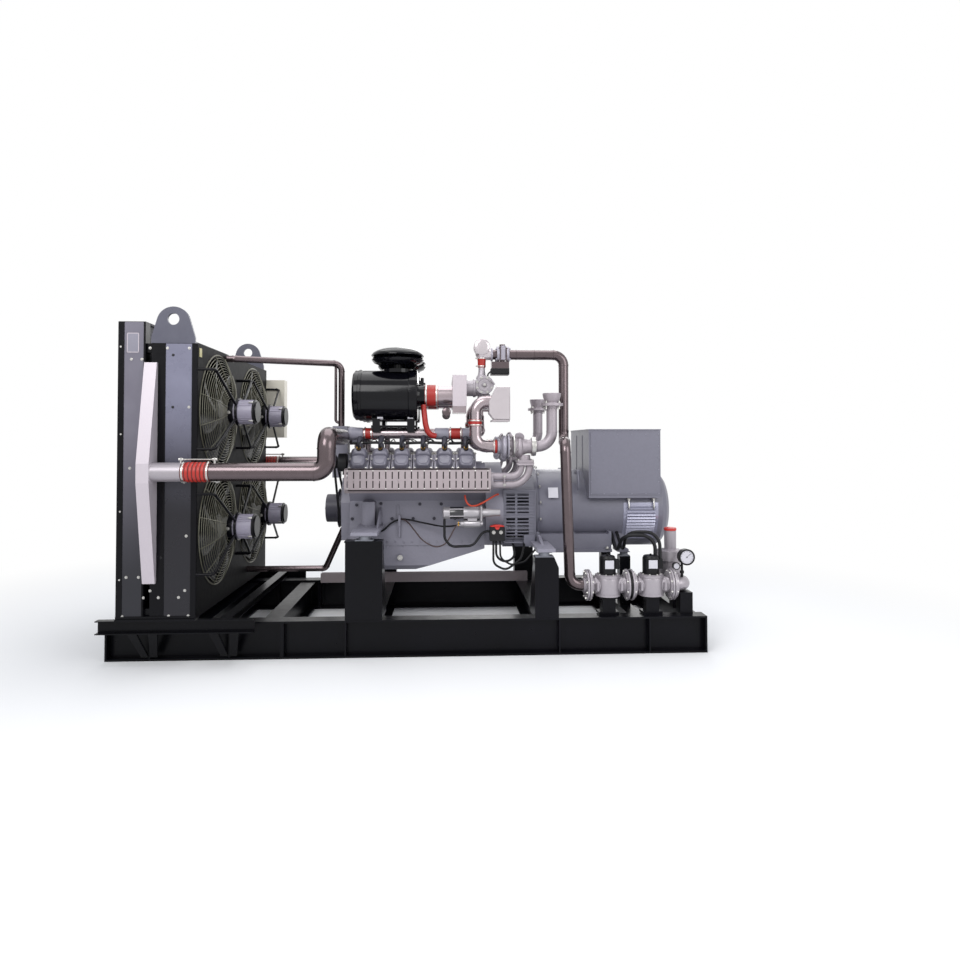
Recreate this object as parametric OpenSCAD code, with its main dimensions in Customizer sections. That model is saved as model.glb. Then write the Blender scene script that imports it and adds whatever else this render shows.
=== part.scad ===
// Gas engine generating set on a steel skid: fan radiator, V12 engine, alternator and gas train.
// Millimetres. +X runs from the radiator to the alternator, +Y away from the gas train side, +Z up.
// The origin is on the floor under the middle of the skid.

/* [Skid] */
// Length of the skid over both rail sections
skid_l = 4050; // [3900:10:4300]
// Width over the outer edges of the rail flanges
skid_w = 1526; // [1480:2:1560]
// Height of a rail
rail_h = 250; // [220:5:280]
// Width of a rail's flanges
rail_b = 120; // [110:2:130]
// Thickness of a rail's flanges
flange_t = 13; // [10:1:16]
// Thickness of a rail's web
web_t = 9; // [7:1:12]
// Length of the rail section under the radiator
front_section_l = 1154; // [1120:2:1180]
// Thickness of the plates that close and join the rail sections
end_plate_t = 12; // [8:1:16]
// Flange and web thickness of the cross members
cross_t = 10; // [8:1:14]
// Height of the channel bearers that carry the radiator
bearer_h = 50; // [45:1:60]

/* [Radiator] */
// Width over the side columns
rad_w = 1760; // [1740:2:1780]
// Height of the charge air section above its base angle
rad_outer_h = 1927; // [1900:1:1945]
// Height of the coolant section above its base angle
rad_inner_h = 1787; // [1765:1:1795]
// Thickness of the charge air section, along X
cac_d = 173; // [150:1:180]
// Gap between the charge air section and the narrow column
cac_gap = 40; // [30:1:60]
// Thickness of the coolant core, along X
core_d = 84; // [70:1:100]
// Depth of the fan shroud, along X
shroud_d = 212; // [190:1:230]
// Thickness of the column sheet
sheet_t = 5; // [3:1:8]
// Length along X of the outrigger channels
outrigger_l = 1000; // [980:5:1040]
// Height of the outrigger channels
outrigger_h = 88; // [80:1:96]
// Width of the outrigger channels
outrigger_b = 50; // [40:1:60]
// Greatest depth of a charge air tank, in the middle
tank_depth = 132; // [126:1:140]
// Depth of a charge air tank at its ends
tank_end_depth = 20; // [15:1:40]
// Width of a charge air tank, along X
tank_b = 80; // [70:1:95]
// Length of a charge air tank
tank_l = 1430; // [1350:5:1500]

/* [Fans] */
// Radius of a fan over its blade tips
fan_r = 372; // [355:1:376]
// Radial gap between the blade tips and the ring
tip_gap = 12; // [8:1:14]
// Spacing of the fans across the set
fan_pitch_y = 900; // [880:2:910]
// Spacing of the fans up the radiator
fan_pitch_z = 814; // [790:2:830]
// Blades on each fan
blades = 7; // [5:1:9]
// Blade pitch in degrees
blade_pitch = 32; // [25:1:38]
// Radius of a fan motor
motor_r = 84; // [75:1:90]
// Length of a fan motor
motor_l = 178; // [160:2:190]
// Rings of wire on each guard
guard_rings = 6; // [4:1:8]
// Spokes of wire on each guard
guard_spokes = 12; // [8:1:16]
// Width of a guard wire
wire = 6; // [5:1:8]

/* [Engine] */
// Height of the crankshaft above the floor
shaft_z = 935; // [925:1:950]
// Spacing of the cylinders in a bank
bore_pitch = 157; // [150:1:160]
// Cylinders in a bank
bank_n = 6; // [6:1:6]
// Angle of each bank from the vertical
bank_a = 45; // [45:1:45]
// Distance from the crankshaft to the head joint, along a bank
deck_s = 405; // [398:1:412]
// Height of a cylinder head, along a bank
head_h = 115; // [108:1:120]
// Width of a cylinder head, across a bank
head_w = 200; // [192:1:206]
// Height of a rocker cover, along a bank
cover_h = 66; // [58:1:74]
// Half the width of the crankcase
case_hw = 250; // [242:1:258]
// Depth of the sump joint below the crankshaft
sump_joint = 245; // [238:1:250]
// Depth of the sump below its joint
sump_d = 199; // [180:1:215]
// Radius of the crankshaft damper
damper_r = 106; // [98:1:114]
// Thickness of the flywheel housing, along X
flywheel_l = 130; // [120:1:140]

/* [Alternator] */
// Radius of the stator frame
alt_r = 300; // [280:1:305]
// Length of the coupling housing, along X
coupling_l = 232; // [220:1:245]
// Length of the stator frame, along X
frame_l = 700; // [680:5:720]
// Length of the end bell, along X
bell_l = 350; // [330:5:370]
// Length of the terminal box, along X
box_l = 541; // [520:1:560]
// Width of the terminal box, across the set
box_w = 730; // [700:2:760]
// Height of the top of the terminal box above the shaft
box_top = 604; // [580:2:630]
// Height of the underside of the terminal box above the shaft
box_low = 98; // [90:1:110]

/* [Pipes] */
// Radius of the charge air pipes
charge_r = 60; // [55:1:64]
// Radius of the intake manifold pipes
intake_r = 37; // [33:1:40]
// Radius of the coolant pipes
coolant_r = 24; // [20:1:27]
// Radius of the gas pipe
gas_r = 38; // [34:1:40]
// Radius of the exhaust elbows
exhaust_r = 40; // [38:1:42]
// Wall of a silicone hose
hose_t = 5; // [4:1:7]
// Radius of the air filter
filter_r = 192; // [186:1:196]
// Length of the air filter
filter_l = 475; // [460:1:490]
// Radius of the rain cap
cap_r = 199; // [190:1:205]

/* [Gas train] */
// Radius of the gas train flanges
train_flange_r = 92; // [90:1:98]
// Radius of the gas train pipe
train_r = 46; // [42:1:50]
// Radius of a solenoid valve body
valve_r = 80; // [70:1:85]
// Height of the gas train's centre line above the rails
train_up = 199; // [190:1:215]
// Radius of the bolt circle on a gas flange
train_pcd_r = 72.5; // [70:0.5:75]

/* [Hidden] */
$fn = 64;

// Height of a weld bead on a pipe
bead = 2;
// Running gap between curved faces that only lie against each other
seat = 0.3;

// Rails
rail_y = (skid_w - rail_b) / 2;
rail_in = rail_y - rail_b / 2;
rail_x0 = -skid_l / 2;
joint_x = rail_x0 + front_section_l;

// Radiator sections, from the outside towards the engine
rad_x0 = rail_x0 + 122;
rad_hw = rad_w / 2;
base_z = rail_h + bearer_h;
angle_t = 8;
rad_z0 = base_z + angle_t;
narrow_b = 47;
cac_x1 = rad_x0 + cac_d;
narrow_x0 = cac_x1 + cac_gap;
narrow_x1 = narrow_x0 + narrow_b;
shroud_x0 = narrow_x0 + core_d;
fan_x = shroud_x0 + shroud_d;
outer_top = rad_z0 + rad_outer_h;
inner_top = rad_z0 + rad_inner_h;
column_d = 70;
tank_z = 1251;
fan_z = 1257;
ring_r = fan_r + tip_gap;
ring_t = 5;
ring_d = 96;
hub_r = 78;
blade_x = fan_x - 18;
blade_l = 62;
motor_x = fan_x + 84;
V_AT = [290, 808];

// Engine
half_bank = bank_n * bore_pitch / 2;
bank_mid = -21;
block_x0 = bank_mid - half_bank + 2;
block_x1 = 520;
sump_z = shaft_z - sump_joint;
deck_hw = 150;
head_gap = 8;

// Posts: centre along X, length along X and width across
post_y = rail_y;
front_post_x = -330;
front_post_l = 250;
fly_post_x = 913;
fly_post_l = 164;
alt_post_x = 1560;
alt_post_l = 80;
mount_h = 35;
foot_t = 22;
foot_z = shaft_z - 120;
fly_foot_z = shaft_z - 240;
alt_foot_z = shaft_z - 302;

// Alternator
coup_x = block_x1 + flywheel_l;
frame_x = coup_x + coupling_l;
bell_x = frame_x + frame_l;
box_x1 = bell_x + 246;

// Turbochargers and exhaust
turbo_y = 388;
turbo_z = shaft_z + 482;

// Gas train
train_y = -rail_y + 53;
train_z = rail_h + train_up;
train_x = 1212;

function unit(v) = v / norm(v);

module both_sides() {
  children();
  mirror([0, 1, 0]) children();
}

module prism_x(x0, l) {
  translate([x0, 0, 0]) rotate([90, 0, 90]) linear_extrude(l) children();
}

// A solid of revolution about a line along X, from the radii at a row of stations
module revolve_x(at, stations) {
  n = len(stations);
  translate(at) rotate([0, 90, 0]) rotate_extrude()
    polygon(concat([[0, stations[0][0]]], [for (q = stations) [q[1], q[0]]], [[0, stations[n - 1][0]]]));
}

module prism_y(y0, l) {
  translate([0, y0 + l, 0]) rotate([90, 0, 0]) linear_extrude(l) children();
}

module block(lo, hi) {
  translate(lo) cube(hi - lo);
}

module rod_x(at, l, r) {
  translate(at) rotate([0, 90, 0]) cylinder(h = l, r = r);
}

module rod_y(at, l, r) {
  translate(at) rotate([-90, 0, 0]) cylinder(h = l, r = r);
}

module rod_z(at, l, r) {
  translate(at) cylinder(h = l, r = r);
}

module tube_x(at, l, r, bore) {
  difference() {
    rod_x(at, l, r);
    rod_x(at - [1, 0, 0], l + 2, bore);
  }
}

// A round bar between two points
module bar(a, b, r) {
  d = b - a;
  l = norm(d);
  translate(a) rotate([0, atan2(norm([d[0], d[1]]), d[2]), atan2(d[1], d[0])]) cylinder(h = l, r = r);
}

// A round pipe along a line of points: each inner point is an elbow with a weld bead at both ends
module pipe_run(points, r, bend) {
  n = len(points);
  dirs = [for (i = [0:n - 2]) unit(points[i + 1] - points[i])];
  half = [for (i = [0:n - 1]) i == 0 || i == n - 1 ? 0
    : atan2(norm(cross(dirs[i - 1], dirs[i])), dirs[i - 1] * dirs[i]) / 2];
  for (i = [0:n - 2])
    bar(points[i] + dirs[i] * (i == 0 ? 0 : bend * tan(half[i]) + 1),
      points[i + 1] - dirs[i] * (i == n - 2 ? 0 : bend * tan(half[i + 1]) + 1), r);
  for (i = [1:n - 2]) {
    a = dirs[i - 1];
    d = dirs[i];
    u = unit(d - a * (a * d));
    w = cross(-u, a);
    s = bend * tan(half[i]);
    c = points[i] - a * s + u * bend;
    skip = 57.3 / bend;
    for (q = [[points[i] - a * s, a], [points[i] + d * s, d]]) bar(q[0] - q[1] * 4, q[0] + q[1] * 4, r + bead);
    multmatrix([[-u[0], a[0], w[0], c[0]], [-u[1], a[1], w[1], c[1]], [-u[2], a[2], w[2], c[2]], [0, 0, 0, 1]])
      rotate([0, 0, skip]) rotate_extrude(angle = 2 * half[i] - 2 * skip) translate([bend, 0]) circle(r = r);
  }
}

// An I-section seen from its end, with its foot on the origin
module i_section(h, b, t, w) {
  translate([-b / 2, 0]) square([b, t]);
  translate([-b / 2, h - t]) square([b, t]);
  translate([-w / 2, 0]) square([w, h]);
}

module rail(x0, l) {
  prism_x(x0, l) translate([rail_y, 0]) i_section(rail_h, rail_b, flange_t, web_t);
  for (x = [x0, x0 + l - end_plate_t])
    block([x, rail_y - rail_b / 2, 0], [x + end_plate_t, rail_y + rail_b / 2, rail_h]);
}

module stiffener(x) {
  for (s = [0, 1])
    block([x, rail_y - rail_b / 2 + s * (rail_b + web_t) / 2, flange_t],
      [x + 10, rail_y - web_t / 2 + s * (rail_b + web_t) / 2, rail_h - flange_t]);
}

module main_rails() {
  color("#16161c") both_sides() {
    rail(joint_x, skid_l - front_section_l);
    stiffener(fly_post_x + fly_post_l / 2);
    stiffener(front_post_x - front_post_l / 2);
    stiffener(alt_post_x + 60);
  }
}

module radiator_rails() {
  color("#16161c") both_sides() {
    rail(rail_x0, front_section_l);
    stiffener(rail_x0 + V_AT[0] - 5);
    stiffener(rail_x0 + V_AT[1] - 5);
  }
}

// An I-section beam between the webs of the two rails
module cross_member(x, b) {
  hy = rail_y - web_t / 2;
  h = rail_h - 2 * flange_t - 2 * seat;
  translate([x, hy, flange_t + seat]) rotate([90, 0, 0]) linear_extrude(2 * hy) i_section(h, b, cross_t, cross_t);
}

module cross_members() {
  color("#15151a") {
    cross_member(rail_x0 + 60, 80);
    cross_member(rail_x0 + 580, 120);
    cross_member(joint_x - 90, 120);
    cross_member(front_post_x, front_post_l - 2 * cross_t - 2);
    cross_member(fly_post_x, fly_post_l - 2 * cross_t - 2);
    cross_member(alt_post_x, 100);
    cross_member(skid_l / 2 - 70, 100);
  }
}

module channel_y(x, z, b, h, hy, t) {
  difference() {
    block([x - b / 2, -hy, z], [x + b / 2, hy, z + h]);
    block([x - b / 2 + t, -hy - 1, z + t], [x + b / 2 + 1, hy + 1, z + h - t]);
  }
}

module radiator_bearers() {
  color("#17171d") for (v = V_AT)
    channel_y(rail_x0 + v, rail_h, 70, bearer_h, rad_hw + 20 - outrigger_b, 7);
}

module v_brace(x) {
  lean = atan2((rad_hw + 20 - outrigger_b / 2) - (rail_y + rail_b / 2 - 15), base_z - outrigger_h - flange_t);
  low = rail_y + rail_b / 2 - 15;
  arm = base_z - outrigger_h - flange_t;
  intersection() {
    translate([x, low, flange_t]) rotate([-lean, 0, 0]) prism_y(-6, 12)
      for (s = [-1, 1]) polygon([[0, -20], [s * 45, -20], [s * 100, arm + 60], [s * 40, arm + 60]]);
    block([x - 200, rail_y + rail_b / 2, flange_t], [x + 200, rad_hw + 60, base_z - outrigger_h]);
  }
}

module outriggers() {
  y1 = rad_hw + 20;
  color("#17171d") both_sides() {
    difference() {
      block([rail_x0, y1 - outrigger_b, base_z - outrigger_h], [rail_x0 + outrigger_l, y1, base_z]);
      block([rail_x0 - 1, y1 - outrigger_b + 6, base_z - outrigger_h + 7], [rail_x0 + outrigger_l + 1, y1 + 1, base_z - 7]);
    }
    for (v = V_AT) v_brace(rail_x0 + v);
  }
}

// A box post of folded plate, closed at the top
module post(x, y, l, b, z0, z1) {
  difference() {
    block([x - l / 2, y - b / 2, z0], [x + l / 2, y + b / 2, z1]);
    block([x - l / 2 + 8, y - b / 2 + 8, z0 - 1], [x + l / 2 - 8, y + b / 2 - 8, z1 - 10]);
  }
}

// A triangular gusset plate from a near post down to its cross member
module gusset(x, top, reach) {
  y = rail_in;
  z = rail_h - flange_t - seat;
  mirror([0, 1, 0]) prism_x(x, 12)
    polygon([[y + 2, top], [y + 2, rail_h], [y, rail_h], [y, z], [y - reach, z], [y - reach, z + 40]]);
}

module engine_posts() {
  top = foot_z - mount_h;
  color("#131318") {
    both_sides() {
      post(front_post_x, rail_y, front_post_l, rail_b - 4, rail_h, top);
      block([front_post_x - front_post_l / 2 - 6, rail_in + 2, top - 10], [front_post_x - front_post_l / 2, rail_in + rail_b - 2, top]);
    }
    gusset(front_post_x + front_post_l / 2 - 12, top - 60, 200);
  }
}

module flywheel_posts() {
  top = fly_foot_z - mount_h;
  x0 = fly_post_x - fly_post_l / 2;
  x1 = fly_post_x + fly_post_l / 2;
  color("#131318") {
    both_sides() {
      post(fly_post_x, rail_y, fly_post_l, rail_b - 4, rail_h, top - 95);
      prism_y(rail_in + 2, rail_b - 4)
        polygon([[x0, top - 95], [x1, top - 95], [x1, top - 70], [x1 - 30, top], [x0, top]]);
    }
    gusset(x0, top - 60, 170);
  }
}

alt_foot_y = 350;

module alternator_posts() {
  color("#131318") both_sides()
    post(alt_post_x, alt_foot_y - 40, alt_post_l, 80, rail_h - flange_t - seat, alt_foot_z - mount_h);
}

module support_posts() {
  engine_posts();
  flywheel_posts();
  alternator_posts();
}

// A rubber block between two steel plates, with its stud boss
module mount_block(x, y, z) {
  block([x - 62, y - 45, z], [x + 62, y + 45, z + 6]);
  rod_z([x, y, z + 6], mount_h - 12, 38);
  block([x - 50, y - 40, z + mount_h - 6], [x + 50, y + 40, z + mount_h]);
}

module vibration_mounts() {
  color("#8d8f98") both_sides() {
    mount_block(front_post_x, rail_y, foot_z - mount_h);
    mount_block(fly_post_x - 12, rail_y, fly_foot_z - mount_h);
    translate([alt_post_x, alt_foot_y - 40, alt_foot_z - mount_h]) {
      block([-38, -38, 0], [38, 38, 6]);
      rod_z([0, 0, 6], mount_h - 12, 30);
      block([-38, -38, mount_h - 6], [38, 38, mount_h]);
    }
  }
}

tray_b = 50;
tray_h = 80;
tray_x1 = 940;
module cable_tray() {
  y0 = rail_in - tray_b;
  z0 = rail_h - flange_t;
  color("#a79d9c") difference() {
    block([joint_x + 20, y0, z0], [tray_x1, rail_in, z0 + tray_h]);
    block([joint_x + 19, y0 + 3, z0 + 3], [tray_x1 + 1, rail_in - 3, z0 + tray_h + 1]);
    for (i = [0:7]) rod_y([tray_x1 - 560 + i * 34, y0 - 5, z0 + 42], 20, 6);
  }
}

guard_r = ring_r + 16;
guard_x = blade_x + blade_l + 6;
train_w = 26;
filter_y = 250;
filter_z = shaft_z + 864;
filter_x = -461;
intake_y = 250;
intake_z = shaft_z + 578;
charge_y = rad_hw + charge_r + hose_t + 3;
charge_z = 1257;
tank_x = narrow_x0;
gas_y = -200;
gas_z = 2117;
manifold_y = 478;
manifold_z = shaft_z + 235;

module bank() {
  both_sides() translate([0, 0, shaft_z]) rotate([-bank_a, 0, 0]) children();
}

function bank_x(i) = bank_mid - half_bank + (i + 0.5) * bore_pitch;

module radiator_base_angles() {
  x1 = fan_x;
  color("#1a1a20") both_sides() {
    block([rad_x0, rad_hw - column_d, base_z], [x1, rad_hw + 20, rad_z0]);
    block([rad_x0, rad_hw, rad_z0], [x1, rad_hw + angle_t, rad_z0 + 16]);
  }
}

// A side column of folded sheet, open towards the core
module column(x0, x1, z1) {
  difference() {
    block([x0, rad_hw - column_d, rad_z0], [x1, rad_hw, z1]);
    block([x0 + sheet_t, rad_hw - column_d - 1, rad_z0 + sheet_t], [x1 - sheet_t, rad_hw - sheet_t, z1 - sheet_t]);
  }
}

module radiator_columns() {
  color("#8a8492") both_sides() {
    column(rad_x0, cac_x1, outer_top);
    column(narrow_x0, shroud_x0, inner_top);
    for (z = [rad_z0, inner_top - 60])
      block([cac_x1, rad_hw - column_d, z], [narrow_x0, rad_hw - 20, z + 60]);
  }
}

module charge_air_core() {
  y = rad_hw - column_d;
  color("#3a3a42") {
    block([rad_x0 + 14, -y, rad_z0], [cac_x1 - 14, y, outer_top - 14]);
    block([rad_x0, -y, outer_top - 14], [cac_x1, y, outer_top]);
  }
}

module charge_air_tanks() {
  z0 = tank_z - tank_l / 2;
  z1 = tank_z + tank_l / 2;
  color("#dcd6da") both_sides() {
    prism_x(tank_x - tank_b / 2, tank_b)
      polygon([[rad_hw, z0], [rad_hw + tank_end_depth, z0], [rad_hw + tank_depth, tank_z - 62],
        [rad_hw + tank_depth, tank_z + 62], [rad_hw + tank_end_depth, z1], [rad_hw, z1]]);
  }
}

module coolant_core() {
  y = rad_hw - column_d;
  color("#34343c") block([narrow_x0 + 12, -y, rad_z0 + 110], [shroud_x0 - 8, y, inner_top - 110]);
}

module coolant_tanks() {
  y = rad_hw - column_d;
  color("#1a1a20") {
    block([narrow_x0, -y, rad_z0], [shroud_x0, y, rad_z0 + 110]);
    block([narrow_x0, -y, inner_top - 110], [shroud_x0, y, inner_top]);
    rod_z([(narrow_x0 + shroud_x0) / 2, -450, inner_top], 80, 14);
    rod_z([(narrow_x0 + shroud_x0) / 2, -450, inner_top + 80], 22, 22);
  }
}

module at_fans() {
  for (y = [-1, 1]) for (z = [-1, 1])
    translate([0, y * fan_pitch_y / 2, fan_z + z * fan_pitch_z / 2]) children();
}

top_pipe_y = -290;
top_pipe_z = inner_top - sheet_t - coolant_r - 3;
low_pipe_y = 300;
low_pipe_z = rail_h + 163;

// The box between the core and the fans: six wall plates and the dividers that give each fan its own cell
module fan_shroud() {
  t = sheet_t;
  w = rad_hw - t - seat;
  color("#17171d") {
    both_sides() block([shroud_x0, rad_hw - t, rad_z0], [fan_x, rad_hw, inner_top]);
    block([shroud_x0, -w, rad_z0], [fan_x, w, rad_z0 + t]);
    block([shroud_x0, -w, inner_top - t], [fan_x, w, inner_top]);
    block([shroud_x0, -t / 2, rad_z0 + t + seat], [fan_x - t - seat, t / 2, inner_top - t - seat]);
    both_sides() block([shroud_x0, t / 2 + seat, fan_z - t / 2], [fan_x - t - seat, w, fan_z + t / 2]);
  }
}

// One panel for each fan, with the ring that the blades run in
module fan_rings() {
  t = sheet_t;
  w = rad_hw - t - seat;
  color("#17171d") for (y = [-1, 1]) for (z = [-1, 1]) difference() {
    union() {
      block([fan_x - t, y < 0 ? -w : seat / 2, z < 0 ? rad_z0 + t + seat : fan_z + seat / 2],
        [fan_x, y < 0 ? -seat / 2 : w, z < 0 ? fan_z - seat / 2 : inner_top - t - seat]);
      tube_x([fan_x - 60, y * fan_pitch_y / 2, fan_z + z * fan_pitch_z / 2], 60, ring_r + ring_t, ring_r);
    }
    rod_x([fan_x - t - 1, y * fan_pitch_y / 2, fan_z + z * fan_pitch_z / 2], t + 2, ring_r);
    rod_x([fan_x - t - 1, top_pipe_y, top_pipe_z], t + 2, coolant_r + seat);
    rod_x([fan_x - t - 1, low_pipe_y, low_pipe_z], t + 2, coolant_r + seat);
  }
}

module fan_guards() {
  step = (guard_r - 6 - motor_r - 22) / guard_rings;
  color("#5f5a4c") at_fans() {
    tube_x([fan_x, 0, 0], wire, guard_r, guard_r - 6);
    for (k = [0:guard_rings]) tube_x([guard_x, 0, 0], wire, guard_r - k * step, guard_r - k * step - 5);
    for (k = [0:guard_spokes - 1]) rotate([k * 360 / guard_spokes, 0, 0]) {
      block([guard_x + wire, motor_r + 10, -wire / 2], [guard_x + 2 * wire, guard_r - 1, wire / 2]);
      block([fan_x, guard_r - 6, -wire / 2], [guard_x + 2 * wire, guard_r, wire / 2]);
    }
  }
}

arm_y = 430;
arm_z = 261;
arm_x = fan_x + 120;

// A motor with its end cap, its mounting ring and the four arms that carry it
module fan_motor() {
  color("#8d8b98") difference() {
    union() {
      rod_x([motor_x, 0, 0], motor_l, motor_r);
      rod_x([motor_x + motor_l, 0, 0], 14, motor_r - 8);
      rod_x([motor_x + 50, 0, 0], 16, motor_r + 16);
    }
    rod_x([motor_x - 1, 0, 0], 60, 14.08);
  }
  for (y = [-1, 1]) for (z = [-1, 1])
    pipe_run([[fan_x, y * arm_y, z * arm_z], [arm_x - 8, y * arm_y, z * arm_z],
      [motor_x + 58, y * (motor_r + 4) * 0.855, z * (motor_r + 4) * 0.519]], 9, 24);
}

module fan_motors() {
  at_fans() fan_motor();
}

// A fan wheel: hub, shaft and flat pitched blades, turning about X
// Section of a blade: the crescent between two arcs over one chord
module blade_section(chord, high, low) {
  outer = (chord * chord / 4 + high * high) / (2 * high);
  inner = (chord * chord / 4 + low * low) / (2 * low);
  intersection() {
    difference() {
      translate([0, high - outer]) circle(outer);
      translate([0, low - inner]) circle(inner);
    }
    translate([-chord / 2 + 2, 0]) square([chord - 4, high + 1]);
  }
}

module fan_wheel() {
  color("#1b1b20") {
    rod_x([blade_x + 2, 0, 0], blade_l - 4, hub_r);
    rod_x([blade_x + blade_l - 2, 0, 0], motor_x + 46 - blade_x - blade_l, 14);
    intersection() {
      for (k = [0:blades - 1]) rotate([k * 360 / blades, 0, 0])
        translate([blade_x + blade_l / 2 - 6, 0, hub_r - 10]) rotate([0, 0, 90 + blade_pitch])
          linear_extrude(fan_r - hub_r + 9) blade_section(112, 16, 9);
      rod_x([blade_x, 0, 0], blade_l, fan_r);
    }
  }
}

module place_fan(y, z) {
  translate([0, y * fan_pitch_y / 2, fan_z + z * fan_pitch_z / 2]) fan_wheel();
}

module fan_upper_near() {
  place_fan(-1, 1);
}

module fan_upper_far() {
  place_fan(1, 1);
}

module fan_lower_near() {
  place_fan(-1, -1);
}

module fan_lower_far() {
  place_fan(1, -1);
}

lug_x = shroud_x0 + 51;
lug_hole_z = 2253;
lug_top = 2335;

// The lug is a bell: its crown is an arc over the half width
lug_w = 105;
lug_rise = lug_top - lug_hole_z;
lug_r = (lug_w * lug_w + lug_rise * lug_rise) / (2 * lug_rise);
module lifting_lugs() {
  color("#1d1d23") both_sides() {
    difference() {
      union() {
        prism_y(rad_hw - 20, 20) polygon([[lug_x - lug_w - 35, inner_top], [lug_x + lug_w + 35, inner_top],
          [lug_x + lug_w + 35, inner_top + 40], [lug_x + lug_w, lug_hole_z], [lug_x - lug_w, lug_hole_z],
          [lug_x - lug_w - 35, inner_top + 40]]);
        intersection() {
          rod_y([lug_x, rad_hw - 20, lug_top - lug_r], 20, lug_r);
          block([lug_x - lug_w, rad_hw - 21, lug_hole_z], [lug_x + lug_w, rad_hw + 1, lug_top + 1]);
        }
      }
      rod_y([lug_x, rad_hw - 21, lug_hole_z], 22, 38);
    }
    block([lug_x - 135, rad_hw - 70, inner_top], [lug_x + 135, rad_hw - 20, inner_top + 12]);
  }
}

module junction_box() {
  color("#d8d2c4") {
    block([fan_x - 36, rad_hw + 12, 1490], [fan_x + 159, rad_hw + 122, 2010]);
    for (z = [1540, 1920]) block([fan_x - 36, rad_hw, z], [fan_x, rad_hw + 12, z + 40]);
    block([fan_x - 20, rad_hw + 122, 1506], [fan_x + 143, rad_hw + 126, 1994]);
  }
}

module coolant_pipes() {
  color("#1c1c22") {
    pipe_run([[shroud_x0, top_pipe_y, top_pipe_z], [fan_x + 60, top_pipe_y, top_pipe_z],
      [block_x0 - 102, 0, top_pipe_z], [block_x0 - 102, 0, 1573]], coolant_r, 60);
    pipe_run([[shroud_x0, low_pipe_y, low_pipe_z], [-760, low_pipe_y, low_pipe_z],
      [block_x0 - 110, 230, 760], [cover_x0, 230, 760]], coolant_r, 40);
  }
}

hose_x0 = fan_x - 67;
hose_x1 = fan_x + 110;
module charge_air_pipes() {
  color("#9b8f88") both_sides() {
    rod_x([tank_x + tank_b / 2, charge_y, charge_z], hose_x0 + 30 - tank_x - tank_b / 2, charge_r);
    pipe_run([[hose_x1 - 30, charge_y, charge_z], [-550, charge_y, charge_z],
      [-550, charge_y, intake_z - 26], [-550, intake_y, intake_z - 26]], charge_r, 78);
  }
}

module hose_x(x0, x1, y, z, r) {
  tube_x([x0, y, z], x1 - x0, r + hose_t, r + seat);
}

module silicone_hoses() {
  color("#b8392c") both_sides() {
    tube_x([hose_x0, charge_y, charge_z], hose_x1 - hose_x0, charge_r + 2, charge_r + seat);
    for (k = [0:4])
      tube_x([hose_x0 + 24 + k * (hose_x1 - hose_x0 - 66) / 4, charge_y, charge_z], 18, charge_r + hose_t, charge_r + 1);
    hose_x(-390, -322, intake_y, intake_z, intake_r);
    hose_x(248, 346, intake_y, intake_z, intake_r);
    hose_x(65, 165, filter_y, filter_z, 76);
  }
}

module engine_block() {
  h = deck_s / sqrt(2);
  w = head_w / 2 / sqrt(2);
  color("#7b7d86") {
    prism_x(block_x0, block_x1 - block_x0) polygon([
      [-case_hw, shaft_z - sump_joint], [-case_hw, shaft_z + 75], [-h - w, shaft_z + h - w], [-h + w, shaft_z + h + w],
      [-120, shaft_z + 265], [120, shaft_z + 265], [h - w, shaft_z + h + w], [h + w, shaft_z + h - w],
      [case_hw, shaft_z + 75], [case_hw, shaft_z - sump_joint]]);
    both_sides() {
      for (i = [1:bank_n - 2]) rod_y([bank_x(i) + bore_pitch / 2, case_hw - 1, shaft_z - 58], 7, 11);
      block([-140, case_hw - 1, shaft_z - 130], [-126, case_hw + 12, shaft_z + 40]);
      block([front_post_x + 80, case_hw - 1, shaft_z - 96], [200, case_hw + 4, shaft_z - 90]);
      for (i = [2:bank_n - 2]) rod_y([bank_x(i) + 10, case_hw - 1, shaft_z - 10], 6, 8);
    }
  }
}

module oil_pan() {
  z1 = shaft_z - sump_joint;
  z0 = z1 - sump_d;
  color("#6e7079") {
    difference() {
      prism_y(-case_hw + 8, 2 * case_hw - 16) polygon([[block_x0 + 40, z0 + 40], [block_x0 + 90, z0], [0, z0],
        [block_x1 - 4, z1 - 42], [block_x1 - 4, z1 - 14], [block_x0 + 4, z1 - 14], [block_x0 + 4, z1 - 90]]);
      for (s = [-1, 1]) translate([0, s * case_hw, z0]) rotate([45, 0, 0]) cube([1400, 60, 60], center = true);
    }
    block([block_x0, -case_hw, z1 - 14], [block_x1, case_hw, z1]);
    both_sides() for (i = [0:8]) rod_z([block_x0 + 50 + i * 115, case_hw - 12, z1 - 24], 10, 9);
    rod_y([-116, -case_hw - 4, z0 + 96], 16, 22);
  }
}

cover_x0 = block_x0 - 70;
module front_cover() {
  color("#83858e") {
    difference() {
      prism_x(cover_x0, 70) polygon([[-200, shaft_z - sump_joint + 20], [-230, shaft_z + 60], [-150, shaft_z + 240],
        [150, shaft_z + 240], [230, shaft_z + 60], [200, shaft_z - sump_joint + 20]]);
      rod_x([cover_x0 - 1, 0, shaft_z], 60, 30.08);
    }
    difference() {
      block([block_x0 - 160, -70, shaft_z + 240], [block_x0 - 45, 70, 1573]);
      block([block_x0 - 110, -71, shaft_z + 200], [block_x0 - 44, 71, shaft_z + 300]);
    }
    block([block_x0 - 45, -60, shaft_z + 300], [block_x0, 60, shaft_z + 420]);
    rod_x([cover_x0, 230, 760], 40, 46);
    block([cover_x0, 190, 720], [block_x0, 240, 800]);
  }
}

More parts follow.
